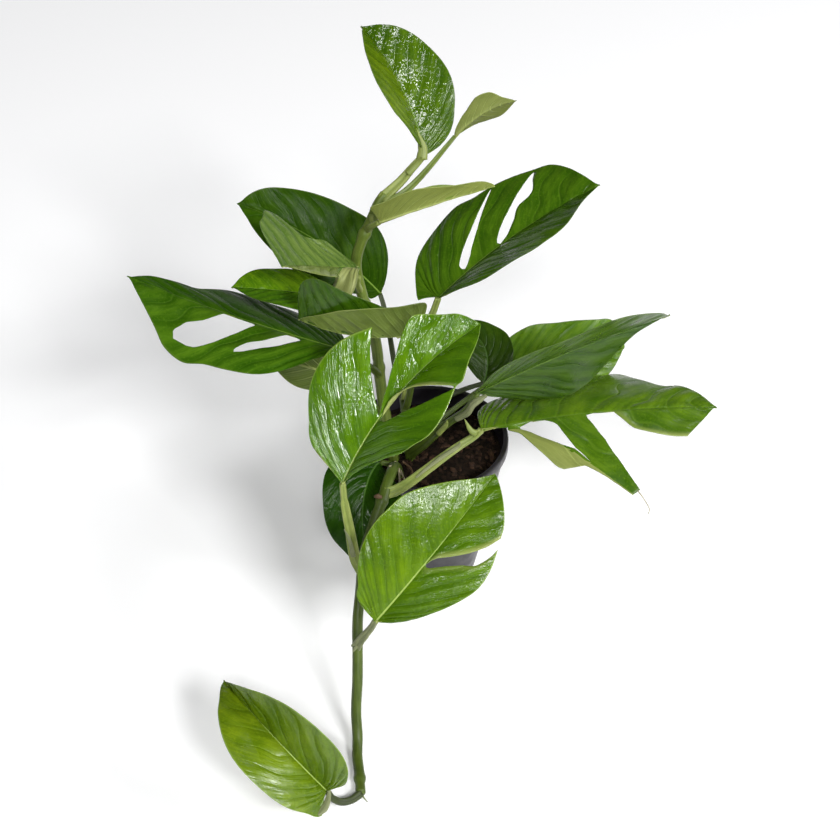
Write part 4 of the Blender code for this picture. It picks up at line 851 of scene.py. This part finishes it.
# route and radius in millimetres, the radius at shares of the length
# nodes: the shares where a vine swells; sheath: the share that it reaches, and how far its wings stand out
# slot: a name given with some stems, which nothing here reads; the finish follows the tone
stems = {
    "vine_climbing": {"route": [(-25, -16, 103), (-29, -10, 130), (-34, -2, 158), (-37, 6, 182),
        (-40, 14, 212), (-48, 24, 241), (-53, 31, 266), (-49, 35, 285), (-42, 40, 299), (-37, 46, 309),
        (-32, 50, 315)], "radius": {0: 4.4, 1: 3.8}, "nodes": [0.13, 0.4, 0.62, 0.86], "tone": "young",
        "slot": "stem_olive"},
    "vine_short": {"route": [(-14, -13, 103), (-15, -9, 124), (-17, -2, 143), (-19, 6, 161)],
        "radius": {0: 4.2, 1: 3.6}, "nodes": [0.5], "tone": "olive"},
    "vine_trailing": {"route": [(-22, -27, 103), (-24, -33, 125), (-26, -44, 139), (-28, -55, 144),
        (-31, -68, 144), (-35, -81, 138), (-42, -94, 124), (-48, -106, 107), (-50, -122, 91),
        (-52, -137, 76), (-52, -151, 61), (-52, -165, 44), (-53, -179, 25), (-52, -191, 11),
        (-52, -204, 5.2), (-50, -220, 4), (-49, -235, 4)], "radius": {0: 4.2, 1: 3.6},
        "nodes": [0.27, 0.43, 0.96], "tone": "olive"},
    "petiole_top": {"route": [(-34, 48, 312), (-21, 55, 322), (-14, 59, 329), (-5, 64, 337.5)],
        "radius": {0: 3.8, 0.8: 2.8, 1: 2.4}, "sheath": (0.95, 0.35), "tone": "pale"},
    "petiole_newest": {"route": [(-35, 47, 311), (-24, 47, 314), (-13, 53, 320), (0, 66, 328),
        (11, 78, 336), (17.5, 84.5, 341)], "radius": {0: 2.7, 1: 1.5}, "sheath": (0.9, 0.3),
        "tone": "young", "slot": "stem_pale"},
    "petiole_folded": {"route": [(-45, 37, 293), (-42, 30, 301), (-36, 24.5, 308.5)],
        "radius": {0: 2.6, 1: 2}, "tone": "pale"},
    "petiole_upper_right": {"route": [(-19, 6, 159), (-14, 16, 183), (-6, 24, 206), (2, 29, 225),
        (6, 30, 238)], "radius": {0: 3.4, 0.8: 2.6, 1: 2.4}, "tone": "pale"},
    "petiole_upper_left": {"route": [(-18, 3, 151), (-25, 22, 173), (-30, 38, 198), (-34, 49, 215),
        (-37, 54.5, 223.5)], "radius": {0: 2.4, 1: 1.8}, "tone": "dark"},
    "petiole_half_rolled": {"route": [(-50, 26, 247), (-52, 18, 260), (-51, 15, 268.5)],
        "radius": {0: 2.6, 1: 2}, "tone": "pale"},
    "petiole_left_back": {"route": [(-46, 22, 236), (-54, 20, 241), (-61, 18, 245.5)],
        "radius": {0: 2.4, 1: 1.8}, "tone": "olive"},
    "petiole_left_split": {"route": [(-37, 7, 184), (-41, -1, 196), (-50, -8, 210), (-61, -10, 221.5)],
        "radius": {0: 3, 1: 2.2}, "tone": "olive"},
    "petiole_centre_raised": {"route": [(-18, 3, 154), (-15, -6, 176), (-12, -11, 205), (-10, -10, 235.5)],
        "radius": {0: 2.8, 1: 2}, "tone": "olive"},
    "petiole_centre_front": {"route": [(-49, -111, 101), (-54, -110, 115), (-57, -107, 139),
        (-60, -103, 160), (-61, -100, 175.5)], "radius": {0: 3.3, 0.85: 2.4, 1: 2.3},
        "sheath": (0.85, 0.9), "tone": "pale"},
    "petiole_centre_dark": {"route": [(-17, -1, 143), (0, 11, 150), (22, 18, 159), (40.5, 20, 165.5)],
        "radius": {0: 2.4, 1: 1.8}, "tone": "dark"},
    "petiole_right_long": {"route": [(-15, -10, 120), (-3, -18, 139), (10, -24, 161), (26, -33, 185),
        (33.5, -35, 202.5)], "radius": {0: 4, 0.8: 2.6, 1: 2.4}, "sheath": (0.6, 0.4), "tone": "olive"},
    "petiole_right_back": {"route": [(-16, -6, 131), (5, 10, 135), (31, 28, 145), (53.5, 41.5, 155)],
        "radius": {0: 2.4, 1: 1.8}, "tone": "olive"},
    "petiole_right_split": {"route": [(-33, -74, 141), (-25, -71, 141), (-13, -68, 148), (7, -61, 162),
        (21, -55, 170), (31, -51, 175), (36.5, -50, 180.5)], "radius": {0: 4.2, 0.85: 3, 1: 2.6},
        "sheath": (0.8, 0.35), "tone": "pale"},
    "petiole_front_bright": {"route": [(-52, -150, 63), (-48, -154, 76), (-42, -157, 89),
        (-38.5, -159.5, 99.5)], "radius": {0: 3.4, 1: 2.3}, "sheath": (0.6, 0.5), "tone": "grey",
        "slot": "stem_pale"},
    "petiole_pot_front": {"route": [(-25, -36, 129), (-30, -37, 135), (-36.5, -38, 138)],
        "radius": {0: 2.8, 1: 2}, "tone": "olive"},
    "petiole_floor": {"route": [(-49, -235, 4), (-55, -241, 4.8), (-62, -244, 6.5), (-68, -245, 12),
        (-71.5, -244, 19)], "radius": {0: 3.2, 1: 2.2}, "tone": "dark", "slot": "stem_pale"},
    "petiole_left_low": {"route": [(-31, -7, 142), (-42, -3, 166), (-51, -1, 179), (-56.5, 0, 186.5)],
        "radius": {0: 2.4, 1: 1.8}, "tone": "olive"},
}


def smoothRoute(knots, step):
    knots = list(np.array(knots, float) * mm)
    knots = [knots[0] * 2 - knots[1]] + knots + [knots[-1] * 2 - knots[-2]]
    route = []
    for before, start, end, after in zip(knots, knots[1:], knots[2:], knots[3:]):
        count = max(1, round(np.linalg.norm(end - start) / step))
        for n in range(count):
            t = n / count
            square = 2 * before - 5 * start + 4 * end - after
            cube = 3 * start - before - 3 * end + after
            route.append(0.5 * (2 * start + (end - before) * t + square * t ** 2 + cube * t ** 3))
    route.append(knots[-2])
    return np.array(route)


def radiiAlong(part, route):
    share = np.linspace(0, 1, len(route))
    return np.interp(share, list(part["radius"]), list(part["radius"].values())) * mm


def sweep(route, radii, around, profile):
    # a closed tube along a route; profile(angles, share) scales the radius round it, a quarter turn faces up
    tangents = unit(np.gradient(route, axis=0))
    side = unit(np.cross(tangents[0], stemGrid["down"]))
    lengths = np.concatenate([[0], np.cumsum(np.linalg.norm(np.diff(route, axis=0), axis=1))])
    shares = lengths / lengths[-1]
    angles = 2 * np.pi * np.arange(around) / around
    points, maps, faces = [], [], []
    for n, (centre, tangent) in enumerate(zip(route, tangents)):
        side = unit(side - tangent * side.dot(tangent))
        across = np.cross(tangent, side)
        radius = radii[n] * profile(angles, shares[n])
        points += list(centre + (np.multiply.outer(np.cos(angles) * radius, side)
                                 + np.multiply.outer(np.sin(angles) * radius, across)))
        maps += [(a / (2 * np.pi), lengths[n]) for a in angles]
    steps = [(k, (k + 1) % around) for k in range(around)]
    for first in range(0, len(points) - around, around):
        faces += [[first + a, first + b, first + around + b, first + around + a] for a, b in steps]
    last = len(route) - 1
    for ring, out in ((0, -stemGrid["capOut"]), (last, stemGrid["capOut"])):
        hub = len(points)
        points.append(route[ring] + tangents[ring] * radii[ring] * out)
        maps.append((0.5, lengths[ring]))
        caps = [[ring * around + a, ring * around + b, hub] for a, b in steps]
        faces += caps if ring else [[b, a, top] for a, b, top in caps]
    return np.array(points), faces, np.array(maps)


stemLook = {"grain": (9.0, 22.0, 1.0), "grainNoise": (3.0, 3.0, 0.6), "streaks": (0.45, 0.65, 0.0, 0.7),
            "mottle": (70.0, 0.4), "upperSide": 0.25, "groove": (0.0, 0.05, 0.6, 0.0), "fleckScale": 1400.0,
            "flecks": (0.66, 0.74, 0.0, 0.5), "fleckPale": (1.5, 1.4, 1.6), "rough": (-0.06, 0.10),
            "shine": 0.3, "pebbleScale": 900.0, "pebble": 0.4, "bump": (0.5, 0.0004)}


def makeStemMaterial(name, tone):
    material, shader, w = startMaterial(name)
    look = stemLook
    around, _, both = w.map("stemMap")
    streak = w.noise(w.stretched(both, look["grain"]), *look["grainNoise"])
    colour = w.mix(w.remap(streak, *look["streaks"]), mottled(w, tone, *look["mottle"]), tone["light"])
    # painted shade: a darker line along the upper side of every stem, in the groove of a stalk
    groove = w.remap(w.maths("ABSOLUTE", w.minus(around, look["upperSide"])), *look["groove"])
    colour = w.mix(groove, colour, tone["deep"])
    fleck = w.remap(w.noise(w.place(), look["fleckScale"], 1.0), *look["flecks"])
    colour = w.mix(fleck, colour, tuple(np.multiply(tone["light"], look["fleckPale"])))
    rough = w.spread(streak, *(tone["gloss"] + more for more in look["rough"]))
    w.fill(shader, {"Base Color": colour, "Roughness": rough, "Specular IOR Level": look["shine"]})
    pebbles = w.times(w.noise(w.place(), look["pebbleScale"]), look["pebble"])
    w.bump(shader, w.plus(streak, pebbles), *look["bump"])
    return material


stemMaterials = {tone: makeStemMaterial("stem_" + tone, values) for tone, values in stemTones.items()}
nodeShape = {"swell": 0.22, "width": 0.0030, "waist": 0.07, "waistAt": 0.0045, "waistWidth": 0.0018}
stalkShape = {"groove": 0.24, "grooveWidth": 0.40, "lip": 0.06, "lipAt": 0.78, "lipWidth": 0.24,
              "sheathEnd": 0.04, "sheathNarrows": 0.35}
# unevenness: how much, at what scale, and a seed; ribs of a vine: how many, how far they wind, how deep
stemShape = {"stemUneven": (0.04, 90, 5), "trimmingUneven": (0.06, 300, 9),
             "ribs": ((3, 9, 0.030), (7, 4, 0.02))}


def unevenRadii(part, route, kind):
    amount, scale, seed = stemShape[kind]
    return radiiAlong(part, route) * (1 + amount * softNoise(route, scale, seed))


def makeStem(name):
    stem = stems[name]
    route = smoothRoute(stem["route"], stemGrid["step"])
    share = np.linspace(0, 1, len(route))
    radii = unevenRadii(stem, route, "stemUneven")
    length = np.linalg.norm(np.diff(route, axis=0), axis=1).sum()
    for node in stem.get("nodes", []):
        far = (share - node) * length
        radii = radii * (1 + nodeShape["swell"] * hump(far, nodeShape["width"])
                         - nodeShape["waist"] * hump(far - nodeShape["waistAt"], nodeShape["waistWidth"]))
    sheathEnd, wing = stem.get("sheath", (0, 0))

    def ribbed(angles, where):
        ribs = (deep * np.cos(count * angles + where * wind) for count, wind, deep in stemShape["ribs"])
        return 1 + sum(ribs)

    def channel(angles, where):
        # a leaf stalk is grooved along its upper side, and winged as far as its sheath reaches
        fromTop = np.abs(np.angle(np.exp(1j * (angles - np.pi / 2))))
        rise = wing * ramp(sheathEnd - where, stalkShape["sheathEnd"])
        rise = rise * (1 - stalkShape["sheathNarrows"] * where)
        lips = (stalkShape["lip"] + rise) * hump(fromTop - stalkShape["lipAt"], stalkShape["lipWidth"])
        return 1 - stalkShape["groove"] * hump(fromTop, stalkShape["grooveWidth"]) + lips

    profile = ribbed if name.startswith("vine") else channel
    points, faces, maps = sweep(route, radii, stemGrid["sides"], profile)
    addPiece(name + "_stem", points, faces, [stemMaterials[stem["tone"]]], name, {"stemMap": maps})


# scale leaves, sheath tips, swollen joints, roots and a bud: flat is the thickness against the width
trimmings = {
    "bract_front_bright": {"route": [(-49, -151.8, 68.5), (-52.5, -153.5, 65.5), (-55.5, -155.5, 61.8)],
        "radius": {0: 1.4, 0.6: 1.2, 1: 0.3}, "flat": 0.4, "tone": "grey"},
    "sheath_tip_centre_front": {"route": [(-54.5, -115, 118), (-57, -113, 133), (-60.5, -111, 142)],
        "radius": {0: 1.8, 0.7: 1.2, 1: 0.2}, "flat": 0.35, "tone": "grey"},
    "sheath_tip_right_split": {"route": [(-10, -70.5, 153.5), (6, -65, 166), (19, -60, 173),
        (21.5, -59, 177.5)], "radius": {0: 0.8, 0.5: 1.6, 0.9: 1.4, 1: 0.3}, "flat": 0.35, "tone": "grey"},
    "ear_right_split": {"route": [(33, -52, 179), (29, -51, 181.5), (24.7, -46.5, 188)],
        "radius": {0: 2.6, 0.5: 1.8, 1: 0.3}, "flat": 0.45, "tone": "pale"},
    "sheath_tip_right_long": {"route": [(6, -27, 156), (11.8, -29, 167), (12.5, -28.5, 171.5)],
        "radius": {0: 2.2, 0.7: 2, 1: 0.4}, "flat": 0.5, "tone": "pale"},
    "joint_right_long": {"route": [(19, -33, 176), (27, -37, 186), (31, -38, 195), (40, -38.5, 203.5)],
        "radius": {0: 2, 0.4: 2.7, 0.8: 2.6, 1: 1.2}, "flat": 0.6, "tone": "grey"},
    "joint_top": {"route": [(-6, 61, 337), (-5.5, 65.5, 344), (-10, 71, 356)],
        "radius": {0: 4, 0.4: 3.2, 1: 0.4}, "flat": 0.5, "tone": "pale"},
    "sheath_tip_top": {"route": [(-16, 55, 329), (-8.5, 59.5, 335), (-5.5, 59.5, 339.5)],
        "radius": {0: 2.4, 0.7: 2.2, 1: 0.8}, "flat": 0.5, "tone": "pale"},
    "bract_folded": {"route": [(-41.1, 38, 305.7), (-41.4, 36, 302.6), (-39.7, 35, 298.5)],
        "radius": {0: 1.8, 0.5: 1.6, 1: 0.4}, "flat": 0.5, "tone": "pale"},
    "bud_trailing": {"route": [(-40, -80, 143.6), (-37.5, -81, 144.8), (-34.5, -81.2, 144)],
        "radius": {0: 0.8, 0.5: 2, 1: 1}, "flat": 0.8, "tone": "brown"},
    "root_front": {"route": [(-25.6, -43.2, 143.2), (-22, -40, 133), (-19, -35, 118)],
        "radius": {0: 0.9, 1: 0.6}, "flat": 1, "tone": "root"},
    "root_middle": {"route": [(-29.5, -52, 147), (-23, -47, 140), (-22.5, -43, 118)],
        "radius": {0: 1, 1: 0.6}, "flat": 1, "tone": "root"},
    "root_side": {"route": [(-20, -33, 134), (-14, -33, 127), (-12, -35, 118)], "radius": {0: 0.8, 1: 0.5},
        "flat": 1, "tone": "brown"},
    "root_end": {"route": [(-49, -235, 4), (-46.5, -238.5, 3.5), (-44, -241, 2)],
        "radius": {0: 1, 0.5: 0.6, 1: 0.3}, "flat": 1, "tone": "grey"},
    "ear_floor": {"route": [(-70.2, -242.5, 21.2), (-70.3, -248, 18.2), (-72.7, -256, 17.4),
        (-77.2, -262, 16.8)], "radius": {0: 0.8, 0.35: 2, 0.75: 3.2, 1: 1.6}, "flat": 0.45,
        "tone": "grey"},
    "thread_right_split": {"route": [(147, -88, 157), (151, -91.5, 153), (155, -96.5, 148),
        (154.5, -99, 145)], "radius": {0: 0.5, 0.5: 0.3, 1: 0.3}, "flat": 1, "tone": "root"},
}


def makeTrimming(name):
    part = trimmings[name]
    route = smoothRoute(part["route"], stemGrid["step"] / 2)
    radii = unevenRadii(part, route, "trimmingUneven")

    def flattened(angles, where):
        return 1 / np.hypot(np.cos(angles), np.sin(angles) / part["flat"])

    points, faces, maps = sweep(route, radii, stemGrid["trimmingSides"], flattened)
    addPiece(name, points, faces, [stemMaterials[part["tone"]]], None, {"stemMap": maps})


for stemName in stems:
    makeStem(stemName)
for trimmingName in trimmings:
    makeTrimming(trimmingName)
print("stems made:", len(stems), "and trimmings:", len(trimmings))


# pot

potSize = {"height": 0.130, "rim": 0.060, "neck": 0.0578, "base": 0.038, "wall": 0.0016, "floor": 0.0025,
           "collar": 0.008, "collarWidth": 0.004, "sides": 120, "drainHoles": 5, "drainRadius": 0.004,
           "drainCircle": 0.024, "drillDepth": 0.02, "drillSides": 32, "sharp": 50}
# the rounded edges: steps outwards and up from each corner, in millimetres
potEdges = {"base": [(-1.5, 0), (-0.4, 0.4), (0, 1.5)], "neck": [(0.6, -0.2)],
            "collar": [(-0.6, 0), (0, 0.7)], "rim": [(0, -1.2), (-0.4, -0.3), (-1.3, 0)],
            "mouth": [(1, 0), (0.2, -0.5), (0, -2)]}
potLook = {"deep": (0.010, 0.009, 0.012), "light": (0.024, 0.021, 0.027), "mottle": (45.0, 0.3),
           "dust": (0.070, 0.060, 0.062), "dustNoise": (260.0, 4.0, 0.7), "dusty": (0.55, 0.85, 0.0, 0.35),
           "roughNoise": (120.0, 3.0), "rough": (0.30, 0.50), "grain": 1500.0, "bump": (0.25, 0.0002)}


def potRadius(z):
    rise = z / (potSize["height"] - potSize["collar"])
    return potSize["base"] + (potSize["neck"] - potSize["base"]) * rise


def turnedPiece(profile, around):
    points, faces, rings = [], [], []
    for radius, z in profile:
        spokes = around if radius else 1
        rings.append([len(points) + k for k in range(spokes)])
        turns = [2 * math.pi * k / around for k in range(spokes)]
        points += [(radius * math.cos(turn), radius * math.sin(turn), z) for turn in turns]
    for low, high in zip(rings, rings[1:]):
        for k in range(around):
            nxt = (k + 1) % around
            if len(low) == 1:
                faces.append([low[0], high[nxt], high[k]])
            elif len(high) == 1:
                faces.append([low[k], low[nxt], high[0]])
            else:
                faces.append([low[k], low[nxt], high[nxt], high[k]])
    return points, faces


def makePotMaterial():
    material, shader, w = startMaterial("pot_plastic")
    dust = w.remap(w.noise(w.place(), *potLook["dustNoise"]), *potLook["dusty"])
    colour = w.mix(dust, mottled(w, potLook, *potLook["mottle"]), potLook["dust"])
    rough = w.spread(w.noise(w.place(), *potLook["roughNoise"]), *potLook["rough"])
    w.fill(shader, {"Base Color": colour, "Roughness": rough})
    w.bump(shader, w.noise(w.place(), potLook["grain"]), *potLook["bump"])
    return material


def potEdge(name, radius, z):
    return [(radius + out * mm, z + up * mm) for out, up in potEdges[name]]


def makePot():
    base, rim, top = potSize["base"], potSize["rim"], potSize["height"]
    foot, rimInside = top - potSize["collar"], rim - potSize["collarWidth"]
    profile = [(0, 0)] + potEdge("base", base, 0)
    profile += [(potRadius(z), z) for z in np.linspace(0.01, foot - 0.001, 12)]
    profile += potEdge("neck", potRadius(foot), foot) + potEdge("collar", rim, foot)
    profile += potEdge("rim", rim, top) + potEdge("mouth", rimInside, top)
    profile += [(potRadius(z) - potSize["wall"], z) for z in np.linspace(foot, potSize["floor"], 10)]
    profile += [(0, potSize["floor"])]
    points, faces = turnedPiece(profile, potSize["sides"])
    pot = addPiece("nursery_pot", points, faces, [makePotMaterial()], "pot")
    circle = potSize["drainCircle"]
    for n in range(potSize["drainHoles"]):
        angle = 2 * math.pi * (n + 0.5) / potSize["drainHoles"]
        bpy.ops.mesh.primitive_cylinder_add(
            radius=potSize["drainRadius"], depth=potSize["drillDepth"], vertices=potSize["drillSides"],
            location=(circle * math.cos(angle), circle * math.sin(angle), 0))
        cutter = bpy.context.object
        drill = pot.modifiers.new("drain", "BOOLEAN")
        drill.object = cutter
        drill.operation = "DIFFERENCE"
        bpy.context.view_layer.objects.active = pot
        bpy.ops.object.modifier_apply(modifier="drain")
        bpy.data.objects.remove(cutter, do_unlink=True)
    pot.data.shade_smooth()
    pot.data.set_sharp_from_angle(angle=math.radians(potSize["sharp"]))


makePot()
print("pot made")


# potting mix

# lumps: height, scale, and a place in the noise
soilSize = {"top": 0.115, "crown": 0.003, "gap": 0.0003, "rings": 46, "sides": 110,
            "lumps": ((0.0016, 110, 0.3), (0.0008, 420, 1.3)), "calmEdge": 8}
soilLook = {"deep": (0.004, 0.003, 0.002), "light": (0.022, 0.013, 0.008), "mottle": (330.0, 0.7),
            "crumbs": (420.0, 6.0, 0.75), "rough": (0.75, 0.98), "shine": 0.1, "bump": (1.0, 0.0022)}


def makeSoilMaterial():
    material, shader, w = startMaterial("potting_mix")
    crumbs = w.noise(w.place(), *soilLook["crumbs"])
    rough = w.spread(crumbs, *soilLook["rough"])
    w.fill(shader, {"Base Color": mottled(w, soilLook, *soilLook["mottle"]), "Roughness": rough,
                    "Specular IOR Level": soilLook["shine"]})
    w.bump(shader, crumbs, *soilLook["bump"])
    return material


def soilHeight(x, y):
    reach = math.hypot(x, y) / potRadius(soilSize["top"])
    lumps = sum(noise.noise(Vector((x, y, z)) * scale) * high for high, scale, z in soilSize["lumps"])
    calm = 1 - reach ** soilSize["calmEdge"]
    return soilSize["top"] + soilSize["crown"] * (1 - reach ** 2) + lumps * calm


def makeSoil():
    top, rings = soilSize["top"], soilSize["rings"]
    foot = potSize["floor"] + soilSize["gap"]
    inset = potSize["wall"] + soilSize["gap"]
    outer = potRadius(top) - inset
    profile = [(0, foot), (potRadius(foot) - inset, foot)]
    profile += [(outer * n / rings, top) for n in range(rings, -1, -1)]
    points, faces = turnedPiece(profile, soilSize["sides"])
    points = [(x, y, soilHeight(x, y) if z == top else z) for x, y, z in points]
    addPiece("potting_mix", points, faces, [makeSoilMaterial()], "soil")


chipSize = {"count": 230, "inset": 0.006, "long": (0.0012, 0.0042), "wide": (0.0009, 0.0022),
            "deep": (0.0005, 0.0012), "tip": 0.5, "corners": 7, "rough": 0.25, "sharp": 35,
            "layers": ((-1, 0.75), (0, 1.0), (1, 0.7)), "lift": 0.8}
chipLook = {"deep": (0.009, 0.005, 0.003), "light": (0.055, 0.027, 0.014), "mottle": (240.0, 0.6),
            "grain": (0.012, 0.006, 0.003), "grainStretch": (1.0, 4.0, 1.0), "grainNoise": (500.0, 4.0, 0.7),
            "grains": (0.4, 0.7, 0.0, 0.5), "rough": (0.6, 0.9), "shine": 0.2, "bump": (0.8, 0.0008)}


def makeChipMaterial():
    material, shader, w = startMaterial("bark_chips")
    look = chipLook
    grain = w.noise(w.stretched(w.place(), look["grainStretch"]), *look["grainNoise"])
    colour = w.mix(w.remap(grain, *look["grains"]), mottled(w, look, *look["mottle"]), look["grain"])
    rough = w.spread(grain, *look["rough"])
    w.fill(shader, {"Base Color": colour, "Roughness": rough, "Specular IOR Level": look["shine"]})
    w.bump(shader, grain, *look["bump"])
    return material


def turnedBy(angle, a, b):
    return a * math.cos(angle) - b * math.sin(angle), a * math.sin(angle) + b * math.cos(angle)


def makeChips():
    dice = random.Random(11)
    points, faces = [], []
    outer = potRadius(soilSize["top"]) - chipSize["inset"]
    corners = chipSize["corners"]
    for _ in range(chipSize["count"]):
        reach, turn = outer * math.sqrt(dice.random()), dice.uniform(0, 2 * math.pi)
        x, y = reach * math.cos(turn), reach * math.sin(turn)
        long, wide, deep = (dice.uniform(*chipSize[label]) for label in ("long", "wide", "deep"))
        spin, tip = dice.uniform(0, 2 * math.pi), dice.uniform(-chipSize["tip"], chipSize["tip"])
        start = len(points)
        for layer, scale in chipSize["layers"]:
            for k in range(corners):
                angle = 2 * math.pi * k / corners
                rough = scale * (1 + chipSize["rough"] * dice.uniform(-1, 1))
                u, h = turnedBy(tip, long * rough * math.cos(angle), deep * layer)
                u, v = turnedBy(spin, u, wide * rough * math.sin(angle))
                points.append((x + u, y + v, soilHeight(x, y) + deep * chipSize["lift"] + h))
        for low in (start, start + corners):
            for k in range(corners):
                nxt = (k + 1) % corners
                faces.append([low + k, low + nxt, low + corners + nxt, low + corners + k])
        faces.append([start + k for k in reversed(range(corners))])
        faces.append([start + 2 * corners + k for k in range(corners)])
    piece = addPiece("bark_pieces", points, faces, [makeChipMaterial()], None)
    piece.data.set_sharp_from_angle(angle=math.radians(chipSize["sharp"]))


makeSoil()
makeChips()
print("potting mix made")
